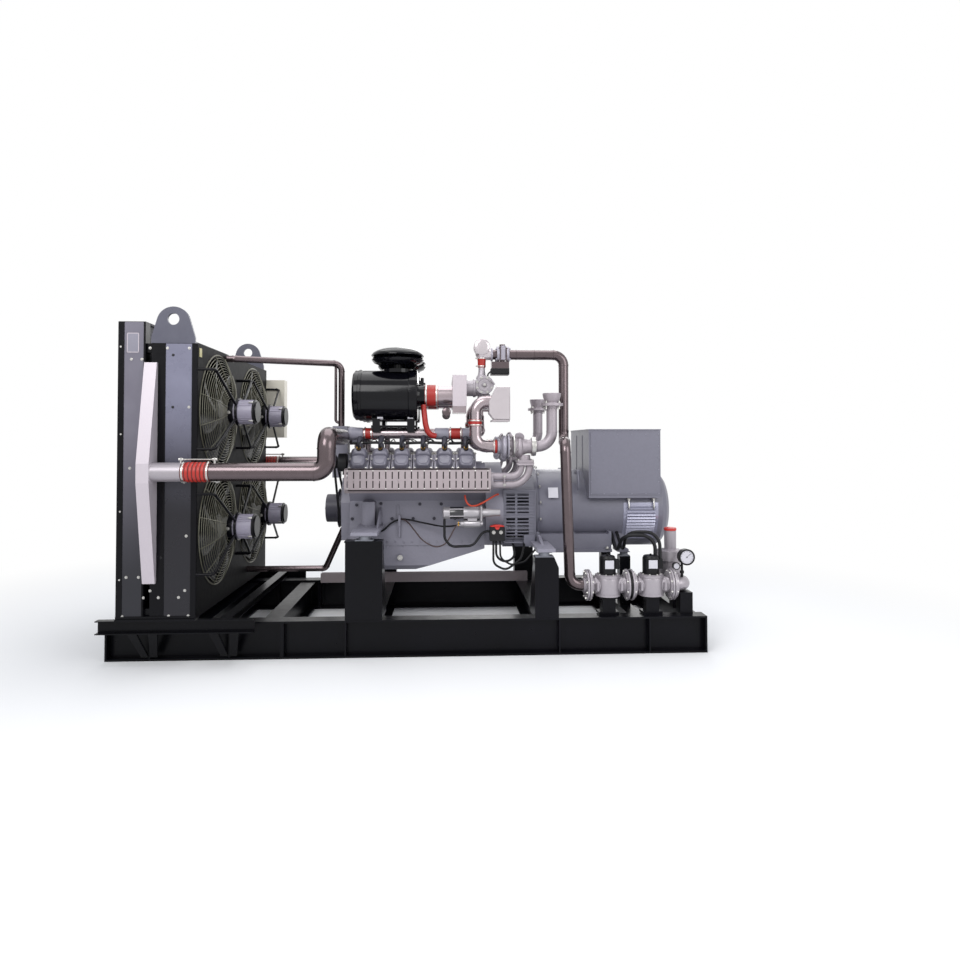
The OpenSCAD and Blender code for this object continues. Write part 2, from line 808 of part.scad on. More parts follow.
module crank_damper() {
  color("#50525a") {
    rod_x([block_x0 - 207, 0, shaft_z], 93, damper_r);
    rod_x([block_x0 - 114, 0, shaft_z], 6, 150);
    rod_x([block_x0 - 108, 0, shaft_z], 30, 128);
    rod_x([block_x0 - 84, 0, shaft_z], 6, 150);
    rod_x([block_x0 - 79, 0, shaft_z], 48, 30);
  }
}

function arc(c, r, a0, a1, n) = [for (i = [0:n]) [c[0] + r * cos(a0 + (a1 - a0) * i / n), c[1] + r * sin(a0 + (a1 - a0) * i / n)]];

// The outline of a belt round two pulleys
function loop(c1, r1, c2, r2) =
  let (d = c2 - c1, a = atan2(d[1], d[0]), b = acos((r1 - r2) / norm(d)))
  concat(arc(c1, r1, a + b, a + 360 - b, 24), arc(c2, r2, a - b, a + b, 12));

alt12_y = -350;
alt12_z = shaft_z + 365;
module belt_drive() {
  color("#141417") {
    prism_x(block_x0 - 104, 16) difference() {
      polygon(loop([0, shaft_z], 141, [alt12_y, alt12_z], 53));
      polygon(loop([0, shaft_z], 133, [alt12_y, alt12_z], 45));
    }
    rod_x([block_x0 - 110, alt12_y, alt12_z], 28, 44.6);
    rod_x([block_x0 - 82, alt12_y, alt12_z], 14, 16);
    rod_x([block_x0 - 68, alt12_y, alt12_z], 58, 66);
    block([block_x0 - 30, alt12_y, alt12_z - 90], [block_x0, alt12_y + 90, alt12_z - 50]);
    block([block_x0 - 40, alt12_y - 15, alt12_z - 90], [block_x0 - 10, alt12_y + 15, alt12_z - 50]);
  }
}

module flywheel_housing() {
  color("#7b7d86") intersection() {
    rod_x([block_x1, 0, shaft_z], flywheel_l, 355);
    block([block_x1, -400, shaft_z - 262], [coup_x, 400, shaft_z + 400]);
  }
}

module engine_feet() {
  x = front_post_x;
  color("#7d7f88") both_sides() {
    block([x - 90, case_hw, foot_z], [x + 90, rail_y + 50, foot_z + foot_t]);
    translate([x - 15, case_hw, foot_z + foot_t]) intersection() {
      cylinder(h = shaft_z + 74 - foot_z - foot_t, r = 96);
      block([-46, 0, 0], [46, 140, 300]);
    }
    prism_x(x + 60, 14) polygon([[case_hw, foot_z + foot_t], [case_hw + 260, foot_z + foot_t], [case_hw, foot_z + 150]]);
    block([fly_post_x - 62, 372, fly_foot_z], [fly_post_x + 62, rail_y + 50, fly_foot_z + foot_t]);
    prism_x(fly_post_x - 10, 20)
      polygon([[372, fly_foot_z + foot_t], [560, fly_foot_z + foot_t], [372, fly_foot_z + 68]]);
  }
}

module cylinder_heads() {
  color("#8f919a") bank() for (i = [0:bank_n - 1])
    block([bank_x(i) - (bore_pitch - head_gap) / 2, -head_w / 2, deck_s + 0.02],
      [bank_x(i) + (bore_pitch - head_gap) / 2, head_w / 2, deck_s + head_h]);
}

// Outline of a cover: round towards the exhaust side, square with rounded corners towards the intake
module shield(w, t0, tc) {
  r = 14;
  translate([0, tc]) circle(w);
  translate([-w, t0 + r]) square([2 * w, tc - t0 - r]);
  translate([-w + r, t0]) square([2 * w - 2 * r, r]);
  for (k = [-1, 1]) translate([k * (w - r), t0 + r]) circle(r);
}

module rocker_covers() {
  s0 = deck_s + head_h;
  w = (bore_pitch - head_gap) / 2 - 18;
  color("#9a9aa4") bank() for (i = [0:bank_n - 1]) translate([bank_x(i), 0, s0]) {
    linear_extrude(9) shield(w + 7, -28, 90 - w);
    difference() {
      linear_extrude(cover_h - 4) shield(w, -22, 90 - w);
      translate([0, 0, cover_h - 7]) linear_extrude(10) shield(w - 17, -6, 90 - w);
      for (k = [0:1]) translate([0, 0, cover_h - 16]) rotate([0, 45, 180 * k]) translate([w - 9, -60, 0]) cube([40, 200, 60]);
    }
    translate([-w, -98, 0]) cube([2 * w, 76, 30]);
    prism_x(-w + 8, 2 * w - 16) polygon([[-92, 30], [-40, 30], [-46, cover_h - 6], [-84, cover_h - 6]]);
    translate([0, -66, cover_h - 6]) cylinder(h = 26, r = 16);
  }
}

module exhaust_manifolds() {
  s = (manifold_y + manifold_z - shaft_z) / sqrt(2);
  t = (manifold_y - manifold_z + shaft_z) / sqrt(2);
  y = 450;
  color("#8f8a86") {
    both_sides() {
      rod_x([-478, manifold_y, manifold_z], 1020, 45);
      rod_x([542, manifold_y, manifold_z], 20, 62);
      for (k = [-1, 1])
        pipe_run([[562, y, manifold_z - 30 * k], [800 + 30 * k, y, manifold_z - 30 * k],
          [800 + 30 * k, y, turbo_z - 128]], 27, 100 + 30 * k);
      block([738, y - 44, turbo_z - 128], [862, y + 36, turbo_z - 116]);
    }
    bank() for (i = [0:bank_n - 1]) {
      translate([bank_x(i), head_w / 2, s - 12]) rotate([-90, 0, 0]) cylinder(h = t - head_w / 2 - 20, r = 26);
      block([bank_x(i) - 40, head_w / 2, s - 46], [bank_x(i) + 40, head_w / 2 + 12, s + 14]);
    }
  }
}

module heat_shields() {
  slots = 23;
  pitch = 1034 / slots;
  color("#cfc3c0") both_sides() {
    prism_y(566, 4) difference() {
      translate([-491, 1116]) square([1034, 136]);
      for (i = [0:slots - 1]) for (z = [1126, 1190]) translate([-491 + (i + 0.5) * pitch - 4, z]) square([8, 50]);
    }
    prism_x(-491, 1034) polygon([[manifold_y + 52, 1087], [570, 1116], [566, 1116], [manifold_y + 52, 1090]]);
    prism_x(-491, 1034) polygon([[570, 1252], [manifold_y + 40, 1262], [manifold_y + 40, 1258], [566, 1252]]);
    difference() {
      for (i = [0:bank_n - 1])
        block([bank_x(i) - 12, manifold_y + 36, manifold_z - 12], [bank_x(i) + 12, 566, manifold_z + 12]);
      rod_x([-500, manifold_y, manifold_z], 1060, 45 + seat);
    }
  }
}

module turbochargers() {
  color("#8b8d93") both_sides() translate([0, turbo_y, 0]) {
    revolve_x([0, 0, turbo_z], [[600, 46], [618, 46], [626, 62], [632, 92], [646, 98], [666, 98], [679, 78], [679, 46],
      [716, 46], [716, 66], [736, 78], [768, 84], [806, 74], [824, 56], [858, 52], [858, 64], [878, 64]]);
    difference() {
      block([764, -34, turbo_z - 100], [836, 34, turbo_z - 60]);
      rod_x([760, 0, turbo_z], 80, 60);
    }
    block([738, -50, turbo_z - 116], [862, 98, turbo_z - 100]);
  }
}

module exhaust_outlets() {
  x = 1006;
  color("#b9b7bd") both_sides() translate([0, turbo_y, 0]) difference() {
    union() {
      pipe_run([[878, 0, turbo_z], [x, 0, turbo_z], [x, 0, 1716]], exhaust_r, 108);
      rod_z([x, 0, 1716], 20, 83);
      rod_z([x, 0, 1736], 74, exhaust_r + 12);
    }
    rod_z([x, 0, 1600], 211, exhaust_r - 6);
    for (k = [0:3]) rod_z([x + 68 * cos(45 + 90 * k), 68 * sin(45 + 90 * k), 1715], 22, 7);
  }
}

module intake_manifold() {
  color("#a39c9a") {
    both_sides() {
      rod_x([-484, intake_y, intake_z], 920, intake_r);
      difference() {
        for (i = [0:bank_n - 1]) rod_z([bank_x(i), intake_y + 12, shaft_z + 380], intake_z - shaft_z - 400, 20);
        translate([0, 0, shaft_z]) rotate([-bank_a, 0, 0])
          block([-600, -head_w / 2 - 10, 0], [600, head_w / 2 + 100, deck_s + head_h + 100]);
      }
    }
    bank() for (i = [0:bank_n - 1])
      block([bank_x(i) - 34, -head_w / 2 - 12, deck_s + 40], [bank_x(i) + 34, -head_w / 2, deck_s + 100]);
    rod_y([-465, -intake_y, intake_z - 26], 2 * intake_y, 26);
  }
}

module air_filter() {
  color("#121215") both_sides() {
    revolve_x([0, filter_y, filter_z], [[filter_x, filter_r - 22], [filter_x + 14, filter_r - 6], [filter_x + 40, filter_r - 6],
      [filter_x + 44, filter_r], [filter_x + 62, filter_r], [filter_x + 66, filter_r - 6], [filter_x + filter_l - 66, filter_r - 6],
      [filter_x + filter_l - 60, filter_r], [filter_x + filter_l - 10, filter_r], [filter_x + filter_l, filter_r - 10],
      [filter_x + filter_l, 77], [filter_x + filter_l + 51, 77]]);
    rod_z([-137, filter_y, filter_z + filter_r - 24], 26, 110);
    difference() {
      union() {
        for (x = [-290, -35])
          block([x - 28, filter_y - 84, intake_z + 10], [x + 28, filter_y + 84, filter_z - filter_r + 30]);
        block([-330, filter_y - 60, intake_z + intake_r + 8], [10, filter_y + 60, intake_z + intake_r + 24]);
      }
      rod_x([-500, filter_y, intake_z], 700, intake_r + seat);
      rod_x([filter_x, filter_y, filter_z], filter_l, filter_r - 1);
    }
  }
}

module rain_cap() {
  z = filter_z + filter_r + 2;
  color("#151518") both_sides() translate([-137, filter_y, 0]) rotate_extrude() polygon([
    [0, z], [82, z], [82, z + 32], [cap_r - 69, z + 32], [cap_r - 69, z + 54], [cap_r - 29, z + 54], [cap_r - 29, z + 78],
    [cap_r, z + 78], [cap_r, z + 98], [cap_r - 24, z + 118], [cap_r - 74, z + 140], [cap_r - 139, z + 153], [0, z + 158]]);
}

module intake_duct() {
  color("#a49c98") {
    both_sides() {
      pipe_run([[600, turbo_y, 1748], [440, turbo_y, 1748], [440, turbo_y, turbo_z], [600, turbo_y, turbo_z]], 44, 84);
      rod_x([100, filter_y, filter_z], 175, 74);
      block([600, turbo_y - 52, 1690], [690, turbo_y + 52, 1806]);
      pipe_run([[436, intake_y, intake_z], [486, intake_y, intake_z], [486, intake_y - 130, intake_z + 130]], 34, 34);
      block([460, 90, intake_z + 120], [512, intake_y - 100, intake_z + 187]);
    }
    block([600, -215, 1690], [680, turbo_y - 52, 1790]);
    block([275, -330, 1717], [376, 330, 1947]);
    block([275, -330, 1668], [376, -60, 1717]);
    block([460, -90, intake_z + 120], [512, 90, intake_z + 187]);
  }
}

module gas_mixer() {
  color("#b2b0b6") {
    difference() {
      rod_y([514, -268, 1880], 160, 70);
      for (k = [0:7]) rod_y([514 + 56 * cos(22.5 + 45 * k), -269, 1880 + 56 * sin(22.5 + 45 * k)], 12, 5);
    }
    rod_y([514, -278, 1880], 10, 16);
    rod_x([376, -200, 1859], 120, 60);
    rod_x([430, -200, 1859], 20, 68);
    prism_y(-336, 121) polygon([[536, 1658], [536, 1742], [592, 1855], [690, 1855], [690, 1615], [572, 1615]]);
    block([470, -215, 1700], [560, -60, 1816]);
    rod_z([497, gas_y, 1940], 72, 34);
    rod_z([497, gas_y, 2012], 98, 54);
    rod_z([497, gas_y, 2110], 24, 40);
    rod_y([497, -250, 2172], 100, 62);
    rod_x([497, gas_y, gas_z], 65, gas_r + 4);
  }
}

module gas_pipe() {
  color("#55565c") {
    pipe_run([[562, gas_y, gas_z], [1126, gas_y, gas_z], [1126, gas_y, 1450], [1068, -600, 1450],
      [1092, train_y, train_z], [train_x - 30 - seat, train_y, train_z]], gas_r, 78);
    block([620, gas_y - 48, gas_z - 48], [695, gas_y + 48, gas_z + 48]);
    block([568, gas_y - 60, 1964], [702, gas_y + 60, 2058]);
    rod_z([655, gas_y, 2058], 20, 18);
    rod_z([655, gas_y, gas_z + 48], 30, 22);
  }
}

starter_y = -450;
starter_z = 937;
module starter_motor() {
  color("#2c2d33") {
    rod_x([203, starter_y, starter_z], 283, 44);
    rod_x([486, starter_y, starter_z], 34, 30);
    rod_x([330, starter_y, starter_z - 74], 150, 28);
    block([360, starter_y + 30, starter_z - 61], [460, -case_hw, starter_z - 11]);
    block([340, starter_y - 20, starter_z - 56], [440, starter_y + 20, starter_z - 36]);
  }
}

module battery_switch() {
  difference() {
    union() {
      color("#1c1c20") block([543, -432, 727], [654, -378, 832]);
      color("#1c1c20") block([560, -378, 750], [636, -300, 810]);
    }
    rod_x([500, 0, shaft_z], 200, 355 + seat);
  }
  color("#c1272d") block([548, -436, 832], [649, -380, 846]);
}

// A lifting hook of flat bar standing on the frame
module lifting_eye(x, a) {
  translate([0, 0, shaft_z]) rotate([a, 0, 0]) prism_x(x, 22) difference() {
    polygon([[-70, alt_r - 12], [70, alt_r - 12], [34, alt_r + 66], [-34, alt_r + 66]]);
    translate([0, alt_r + 34]) circle(r = 18);
  }
}

module alternator_frame() {
  color("#6f7680") {
    difference() {
      union() {
        revolve_x([0, 0, shaft_z], [[frame_x, alt_r + 14], [frame_x + 34, alt_r + 14], [frame_x + 46, alt_r],
          [bell_x, alt_r]]);
        both_sides() {
          block([896, 214, alt_foot_z], [1458, 370, alt_foot_z + foot_t]);
          block([896, 268, alt_foot_z + foot_t], [1458, 348, alt_foot_z + 132]);
          for (x = [896, 1160, 1438]) block([x, 214, alt_foot_z + foot_t], [x + 20, 348, alt_foot_z + 150]);
          block([1500, 214, alt_foot_z], [1582, 370, alt_foot_z + foot_t]);
          block([1500, 214, alt_foot_z + foot_t], [1582, 240, alt_foot_z + 160]);
        }
      }
      block([box_x1 - box_l - 0.5, -400, shaft_z + box_low], [bell_x + 10, 400, shaft_z + 600]);
    }
    lifting_eye(1150, 40);
    lifting_eye(1150, -40);
  }
}

module coupling_housing() {
  color("#757b84") {
    difference() {
      prism_x(coup_x, coupling_l) polygon([[-345, shaft_z + 150], [-345, shaft_z - 176], [-262, shaft_z - 271], [262, shaft_z - 271],
        [345, shaft_z - 176], [345, shaft_z + 150], [240, shaft_z + 250], [-240, shaft_z + 250]]);
      prism_x(coup_x + 22, coupling_l - 44) polygon([[-320, shaft_z + 140], [-320, shaft_z - 166], [-250, shaft_z - 246],
        [250, shaft_z - 246], [320, shaft_z - 166], [320, shaft_z + 140], [228, shaft_z + 226], [-228, shaft_z + 226]]);
      rod_x([coup_x - 1, 0, shaft_z], coupling_l + 2, 200);
      for (y = [-1, 1]) for (x = [[coup_x + 22, 66], [coup_x + 104, 86]]) for (k = [0:12])
        if (k != 6) block([x[0], y * 330 - 40, shaft_z - 196 + k * 26], [x[0] + x[1], y * 330 + 40, shaft_z - 180 + k * 26]);
    }
    rod_x([coup_x + seat, 0, shaft_z], coupling_l - 2 * seat, 150);
    for (k = [0:5]) translate([0, 0, shaft_z]) rotate([k * 60, 0, 0]) block([coup_x + 90, 140, -8], [coup_x + 140, 240, 8]);
    both_sides() block([coup_x + 150, 344, fly_foot_z - 15], [frame_x, 372, fly_foot_z + 70]);
  }
}

module end_bell() {
  color("#6a717b") {
    difference() {
      revolve_x([0, 0, shaft_z], [[bell_x, alt_r], [bell_x + bell_l - 64, alt_r], [bell_x + bell_l - 30, alt_r - 22],
        [bell_x + bell_l, alt_r - 62]]);
      block([bell_x - 1, -400, shaft_z + box_low], [box_x1 + 0.5, 400, shaft_z + 600]);
      for (s = [-1, 1]) for (k = [0:9])
        block([bell_x + 30, s * 330 - 65, shaft_z - 172 + k * 14], [bell_x + bell_l - 120, s * 330 + 65, shaft_z - 166 + k * 14]);
      for (k = [0:11]) translate([0, 0, shaft_z]) rotate([k * 30, 0, 0])
        block([bell_x + bell_l - 20, 96, -9], [bell_x + bell_l + 1, 200, 9]);
    }
    rod_x([bell_x + bell_l, 0, shaft_z], 10, 70);
  }
}

module terminal_box() {
  color("#737a84") {
    block([box_x1 - box_l, -box_w / 2, shaft_z + box_low], [box_x1, box_w / 2, shaft_z + box_top]);
    for (y = [-1, 1]) block([box_x1 - box_l + 12, y * (box_w / 2 + 2) - 2, shaft_z + box_low + 20],
      [box_x1 - 12, y * (box_w / 2 + 2) + 2, shaft_z + box_top - 16]);
  }
}

// A gas flange standing across X
module gas_flange(x, w) {
  difference() {
    rod_x([x, 0, 0], w, train_flange_r);
    for (k = [0:3]) rod_x([x - 1, train_pcd_r * cos(45 + 90 * k), train_pcd_r * sin(45 + 90 * k)], w + 2, 9);
  }
}

// A double seated solenoid valve with its flanges and its coil
module solenoid_valve(x) {
  rod_x([x - 118, 0, 0], 236, 60);
  rod_z([x, 0, -72], 144, valve_r + 5);
  gas_flange(x - 145, 27);
  gas_flange(x + 119, 27);
  block([x - 57, -60, 72], [x + 57, 60, 194]);
}

inlet_y = -300;
// A double seated solenoid valve: ribbed body, necks and flanges
module solenoid_valve(x) {
  rod_x([x - 118, 0, 0], 236, 50);
  rod_x([x - 96, 0, 0], 192, 60);
  rod_z([x, 0, -72], 14, valve_r + 8);
  rod_z([x, 0, -58], 112, valve_r);
  rod_z([x, 0, 54], 18, valve_r + 8);
  gas_flange(x - 145, 27);
  gas_flange(x + 118, 27);
}

module gas_valves() {
  color("#c9c0c2") translate([0, train_y, train_z]) {
    rod_x([train_x - 30, 0, 0], 30, 50);
    difference() {
      translate([0, 0, 0]) union() {
        solenoid_valve(1357);
        solenoid_valve(1664);
      }
      for (x = [1357, 1664]) for (s = [-1, 1]) block([x - 110, s * 58 - 4, -6], [x - 90, s * 58 + 4, 6]);
    }
    rod_x([1502, 0, 0], 17, 70);
    gas_flange(1809, 30);
    pipe_run([[1839, 0, 0], [1911, 0, 0], [1911, 110, 0]], train_r, 60);
  }
}

module gas_coils() {
  color("#17171a") translate([0, train_y, train_z]) for (x = [1357, 1664]) {
    rod_z([x, 0, 72], 8, 60);
    rod_z([x, 0, 80], 112, 57);
    rod_z([x, 0, 192], 12, 48);
    block([x + 10, -20, 120], [x + 78, 20, 176]);
  }
}

module train_gauges() {
  x = 1911 - 17.6;
  y = train_y + 17.6;
  color("#18181b") {
    rod_y([1914, train_y - 30, 641], 62, 55);
    rod_z([x, y, train_z + train_r + seat], 120, 10);
    rod_x([1850, y, 574], x - 1850, 6);
    rod_y([1850, y - 16, 574], 30, 26);
  }
}

module gas_regulator() {
  color("#bdb8bb") {
    translate([1876, -430, 0]) {
      rod_z([0, 0, 400], 185, 70);
      rod_z([0, 0, 585], 70, 100);
      rod_z([0, 0, 655], 144, 41);
      rod_z([0, 0, 799], 20, 44);
    }
    difference() {
      union() {
        rod_y([1911, train_y + 110, train_z], 360, train_r);
        rod_y([1911, train_y + 444, train_z], 26, train_flange_r);
        block([1876, -470, train_z - 40], [1911, -390, train_z + 40]);
      }
      rod_y([1911, train_y + 300, train_z], 200, train_r - 6);
      for (k = [0:3])
        rod_y([1911 + train_pcd_r * cos(45 + 90 * k), train_y + 443, train_z + train_pcd_r * sin(45 + 90 * k)], 28, 9);
    }
  }
}

module gas_train_stands() {
  color("#15151a") {
    block([1858, train_y - 50, rail_h], [1946, train_y + 50, train_z - train_r - bead - 1]);
    for (x = [1357, 1664]) {
      block([x - 70, train_y - 45, rail_h], [x + 70, train_y + 45, rail_h + 20]);
      block([x - 46, train_y - 45, rail_h + 20], [x + 46, train_y + 45, train_z - 72]);
      block([x - 62, train_y - 45, train_z - 90], [x + 62, train_y + 45, train_z - 72]);
    }
    block([1880, -470, rail_h - flange_t - seat], [1950, -390, 400 - seat]);
  }
}

// Cables that hang between two ends: their points are chosen by hand
starter_cable_points = [[214, -450, 893 - seat], [214, -450, 752], [262, -462, 694], [420, -462, 700],
  [497, -405, 797], [543 - seat, -405, 797]];
battery_cable_points = [[592, -405, 727 - seat], [592, -405, 578], [735, -426, 582], [724, -341.4, 678.4],
  [724, -303.7, 711.3]];
coil_conduit_points = [[1700, -640, 653 + seat], [1700, -640, 790], [1480, -600, 790], [1478, -430, 640],
  [1478, -248.1, 764.8]];

module starter_cable() {
  color("#1a1a1d") pipe_run(starter_cable_points, 9, 72);
}

module battery_cables() {
  color("#1a1a1d") pipe_run(battery_cable_points, 8.5, 66);
}

module coil_conduit() {
  color("#1a1a1d") pipe_run(coil_conduit_points, 13, 96);
}

main_rails();
radiator_rails();
cross_members();
radiator_bearers();
outriggers();
support_posts();
vibration_mounts();
cable_tray();
radiator_base_angles();
radiator_columns();
charge_air_core();
charge_air_tanks();
coolant_core();
coolant_tanks();
fan_shroud();
fan_rings();
fan_guards();
fan_motors();
fan_upper_near();
fan_upper_far();
fan_lower_near();
fan_lower_far();
lifting_lugs();
junction_box();
coolant_pipes();
charge_air_pipes();
silicone_hoses();
engine_block();
oil_pan();
front_cover();
crank_damper();
belt_drive();
flywheel_housing();
engine_feet();
cylinder_heads();
rocker_covers();
exhaust_manifolds();
heat_shields();
turbochargers();
exhaust_outlets();
intake_manifold();
air_filter();
rain_cap();
intake_duct();
gas_mixer();
gas_pipe();
starter_motor();
battery_switch();
alternator_frame();
coupling_housing();
end_bell();
terminal_box();
gas_valves();
gas_coils();
train_gauges();
gas_regulator();
gas_train_stands();
starter_cable();
battery_cables();
coil_conduit();
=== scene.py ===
"""Looks of the skid-mounted gas engine generating set.

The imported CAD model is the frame. This script gives every CAD node its finish, and adds the detail that
shows in the photograph: fan wheels and wire guards, hoses, turbochargers, valves, bolts, leads and gauges.
Lengths in the tables are millimetres unless a name ends in _m; S turns them to metres.
"""
import math

import bmesh
import bpy
import numpy as np
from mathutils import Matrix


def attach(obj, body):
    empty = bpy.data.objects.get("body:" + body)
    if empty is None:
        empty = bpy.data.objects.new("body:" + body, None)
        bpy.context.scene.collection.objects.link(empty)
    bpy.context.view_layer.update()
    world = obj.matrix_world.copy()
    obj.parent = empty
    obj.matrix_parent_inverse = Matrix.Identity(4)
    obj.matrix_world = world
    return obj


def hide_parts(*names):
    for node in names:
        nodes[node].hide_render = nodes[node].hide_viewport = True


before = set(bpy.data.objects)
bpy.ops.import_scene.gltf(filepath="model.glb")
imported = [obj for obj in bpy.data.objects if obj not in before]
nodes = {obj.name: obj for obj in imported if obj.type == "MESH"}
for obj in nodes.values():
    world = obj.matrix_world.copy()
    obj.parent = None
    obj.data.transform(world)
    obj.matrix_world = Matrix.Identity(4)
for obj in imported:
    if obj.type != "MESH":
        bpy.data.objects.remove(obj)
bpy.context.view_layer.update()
S = 0.001
TAU = 2 * math.pi

# Camera: solved from the vanishing points of the skid and the radiator in the photograph
CAMERA_AT = (0.210, -5.530, 1.450)
CAMERA_YAW, CAMERA_PITCH = 2.944, 1.226
FRAME_PX, FOCAL_PX, PRINCIPAL_PX_ABOVE_CENTRE = 960, 700, 53
SENSOR_MM = 36

scene = bpy.context.scene
lens = bpy.data.cameras.new("camera")
lens.sensor_width = SENSOR_MM
lens.lens = FOCAL_PX / FRAME_PX * SENSOR_MM
lens.shift_y = -PRINCIPAL_PX_ABOVE_CENTRE / FRAME_PX
camera = bpy.data.objects.new("camera", lens)
camera.location = CAMERA_AT
camera.rotation_euler = (math.radians(90 + CAMERA_PITCH), 0, math.radians(-CAMERA_YAW))
scene.collection.objects.link(camera)
scene.camera = camera
scene.view_settings.view_transform = "Standard"


def linear(hex_colour):
    """sRGB hex to linear red, green, blue and alpha."""
    parts = [int(hex_colour[i:i + 2], 16) / 255 for i in (1, 3, 5)]
    return [c / 12.92 if c <= 0.04045 else ((c + 0.055) / 1.055) ** 2.4 for c in parts] + [1.0]


def add(tree, kind, settings=None, values=None, links=None):
    """Adds one node: settings are its attributes, values its sockets' constants, links its sources."""
    made = tree.nodes.new(kind)
    for key, value in (settings or {}).items():
        setattr(made, key, value)
    for key, value in (values or {}).items():
        made.inputs[key].default_value = value
    for key, source in (links or {}).items():
        tree.links.new(source, made.inputs[key])
    return made


# Shapes: each is (points, faces), its points in millimetres
def quads(rows, cols, close_rows=False):
    """Faces of a grid of rows x cols points, joined round along each row, and along the columns too if
    asked."""
    i, j = np.meshgrid(np.arange(rows - (not close_rows)), np.arange(cols), indexing="ij")
    down, right = (i + 1) % rows, (j + 1) % cols
    return np.stack([i * cols + j, i * cols + right, down * cols + right,
                     down * cols + j], -1).reshape(-1, 4).tolist()


def loft(rings, loop=False):
    """Skin over closed rings, an array (rings, points, 3): each ring is joined to the next, and both ends
    are closed flat, or with loop the last ring is joined to the first."""
    n, m = rings.shape[:2]
    ends = [] if loop else [list(range(m))[::-1], list(range((n - 1) * m, n * m))]
    return rings.reshape(-1, 3), quads(n, m, close_rows=loop) + ends


def axes(axis, along, across, up):
    """Points from their place along an axis and the two places square to it, taken in the order X, Y, Z."""
    order = {"x": (along, across, up), "y": (across, along, up), "z": (across, up, along)}[axis]
    return np.stack(np.broadcast_arrays(*order), -1).astype(float)


def moved(shape, by):
    """A shape shifted by an offset."""
    return shape[0] + np.array(by, float), shape[1]


def turned(axis, at, stations, n=40, loop=False, lobes=0, depth=0.0):
    """Surface of revolution about an axis through at: radius r at each place along it,
    point = (along, r cos a, r sin a), with r (1 + depth cos(lobes a)) where the rim is lobed."""
    a = np.arange(n) / n * TAU
    s = np.array(stations, float)
    r = np.maximum(s[:, 1:2], 0.05) * (1 + depth * np.cos(lobes * a))
    p = axes(axis, s[:, 0:1], r * np.cos(a), r * np.sin(a))
    return moved(loft(p, loop), at)


def hoop(axis, at, big, small, n=48, m=8):
    """Torus: a ring of radius big carries a circle of radius small, of m points."""
    b = np.arange(m) / m * TAU
    return turned(axis, at, np.stack([small * np.sin(b), big + small * np.cos(b)], -1), n, loop=True)


def plate(outline, axis, lo, hi, edge=1.5):
    """Flat plate: an outline (counter-clockwise) set in by edge at both faces, full size between them.
    Inset point = p - edge (n1 + n2) / (1 + n1.n2), with n1 and n2 the normals of its two sides."""
    p = np.array(outline, float)
    d = np.roll(p, -1, 0) - p
    area = np.sum(p[:, 0] * np.roll(p[:, 1], -1) - np.roll(p[:, 0], -1) * p[:, 1])
    length = np.maximum(np.linalg.norm(d, axis=1), 1e-9)[:, None]
    n2 = np.stack([d[:, 1], -d[:, 0]], -1) / length * np.sign(area)
    n1 = np.roll(n2, 1, 0)
    small = p - edge * (n1 + n2) / np.maximum(1 + np.sum(n1 * n2, 1), 0.3)[:, None]
    steps = [(lo, small), (lo + edge, p), (hi - edge, p), (hi, small)]
    return loft(np.stack([axes(axis, k, q[:, 0], q[:, 1]) for k, q in steps]))


def rounded(x0, z0, x1, z1, r, n=5):
    """Outline of a rectangle whose corners are quarter circles of radius r."""
    a = np.linspace(0, TAU / 4, n)
    arcs = [(x1 - r, z1 - r, 0), (x0 + r, z1 - r, 1), (x0 + r, z0 + r, 2), (x1 - r, z0 + r, 3)]
    return np.concatenate([np.stack([cx + r * np.cos(a + k * TAU / 4), cz + r * np.sin(a + k * TAU / 4)], -1)
                           for cx, cz, k in arcs])


def brick(lo, hi, edge=1.5):
    """Block between two corners with every edge broken."""
    (x0, y0, z0), (x1, y1, z1) = lo, hi
    return plate([(x0, z0), (x1, z0), (x1, z1), (x0, z1)], "y", y0, y1, edge)


def bends(points, radius, n=9):
    """Path of straight legs whose corners are arcs. Each corner is cut at radius / tan(half its angle)
    from it, and the arc runs from cut to cut as centre + (e sin((1 - t) w) + f sin(t w)) / sin w, with e
    and f the cuts seen from the centre and w the turn."""
    p = np.array(points, float)
    parts = [p[:1]]
    for a, b, c in zip(p[:-2], p[1:-1], p[2:]):
        u, v = (a - b) / np.linalg.norm(a - b), (c - b) / np.linalg.norm(c - b)
        half = math.acos(max(-1.0, min(1.0, float(np.dot(u, v))))) / 2
        cut = radius / math.tan(half)
        centre = b + (u + v) / np.linalg.norm(u + v) * radius / math.sin(half)
        e, f = b + u * cut - centre, b + v * cut - centre
        sweep = math.pi - 2 * half
        t = np.linspace(0, 1, n)[:, None]
        parts.append(centre + (np.sin((1 - t) * sweep) * e + np.sin(t * sweep) * f) / math.sin(sweep))
    return np.concatenate(parts + [p[-1:]])


def eased(points, n=10):
    """Smooth path through the points: Catmull-Rom cubic in each span."""
    p = np.array(points, float)
    q = np.concatenate([2 * p[:1] - p[1:2], p, 2 * p[-1:] - p[-2:-1]])
    t = np.linspace(0, 1, n, endpoint=False)[None, :, None]
    a, b, c, d = (q[i:len(q) - 3 + i, None, :] for i in range(4))
    curve = 0.5 * (2 * b + (c - a) * t + (2 * a - 5 * b + 4 * c - d) * t ** 2
                   + (3 * b - a - 3 * c + d) * t ** 3)
    return np.concatenate([curve.reshape(-1, 3), p[-1:]])


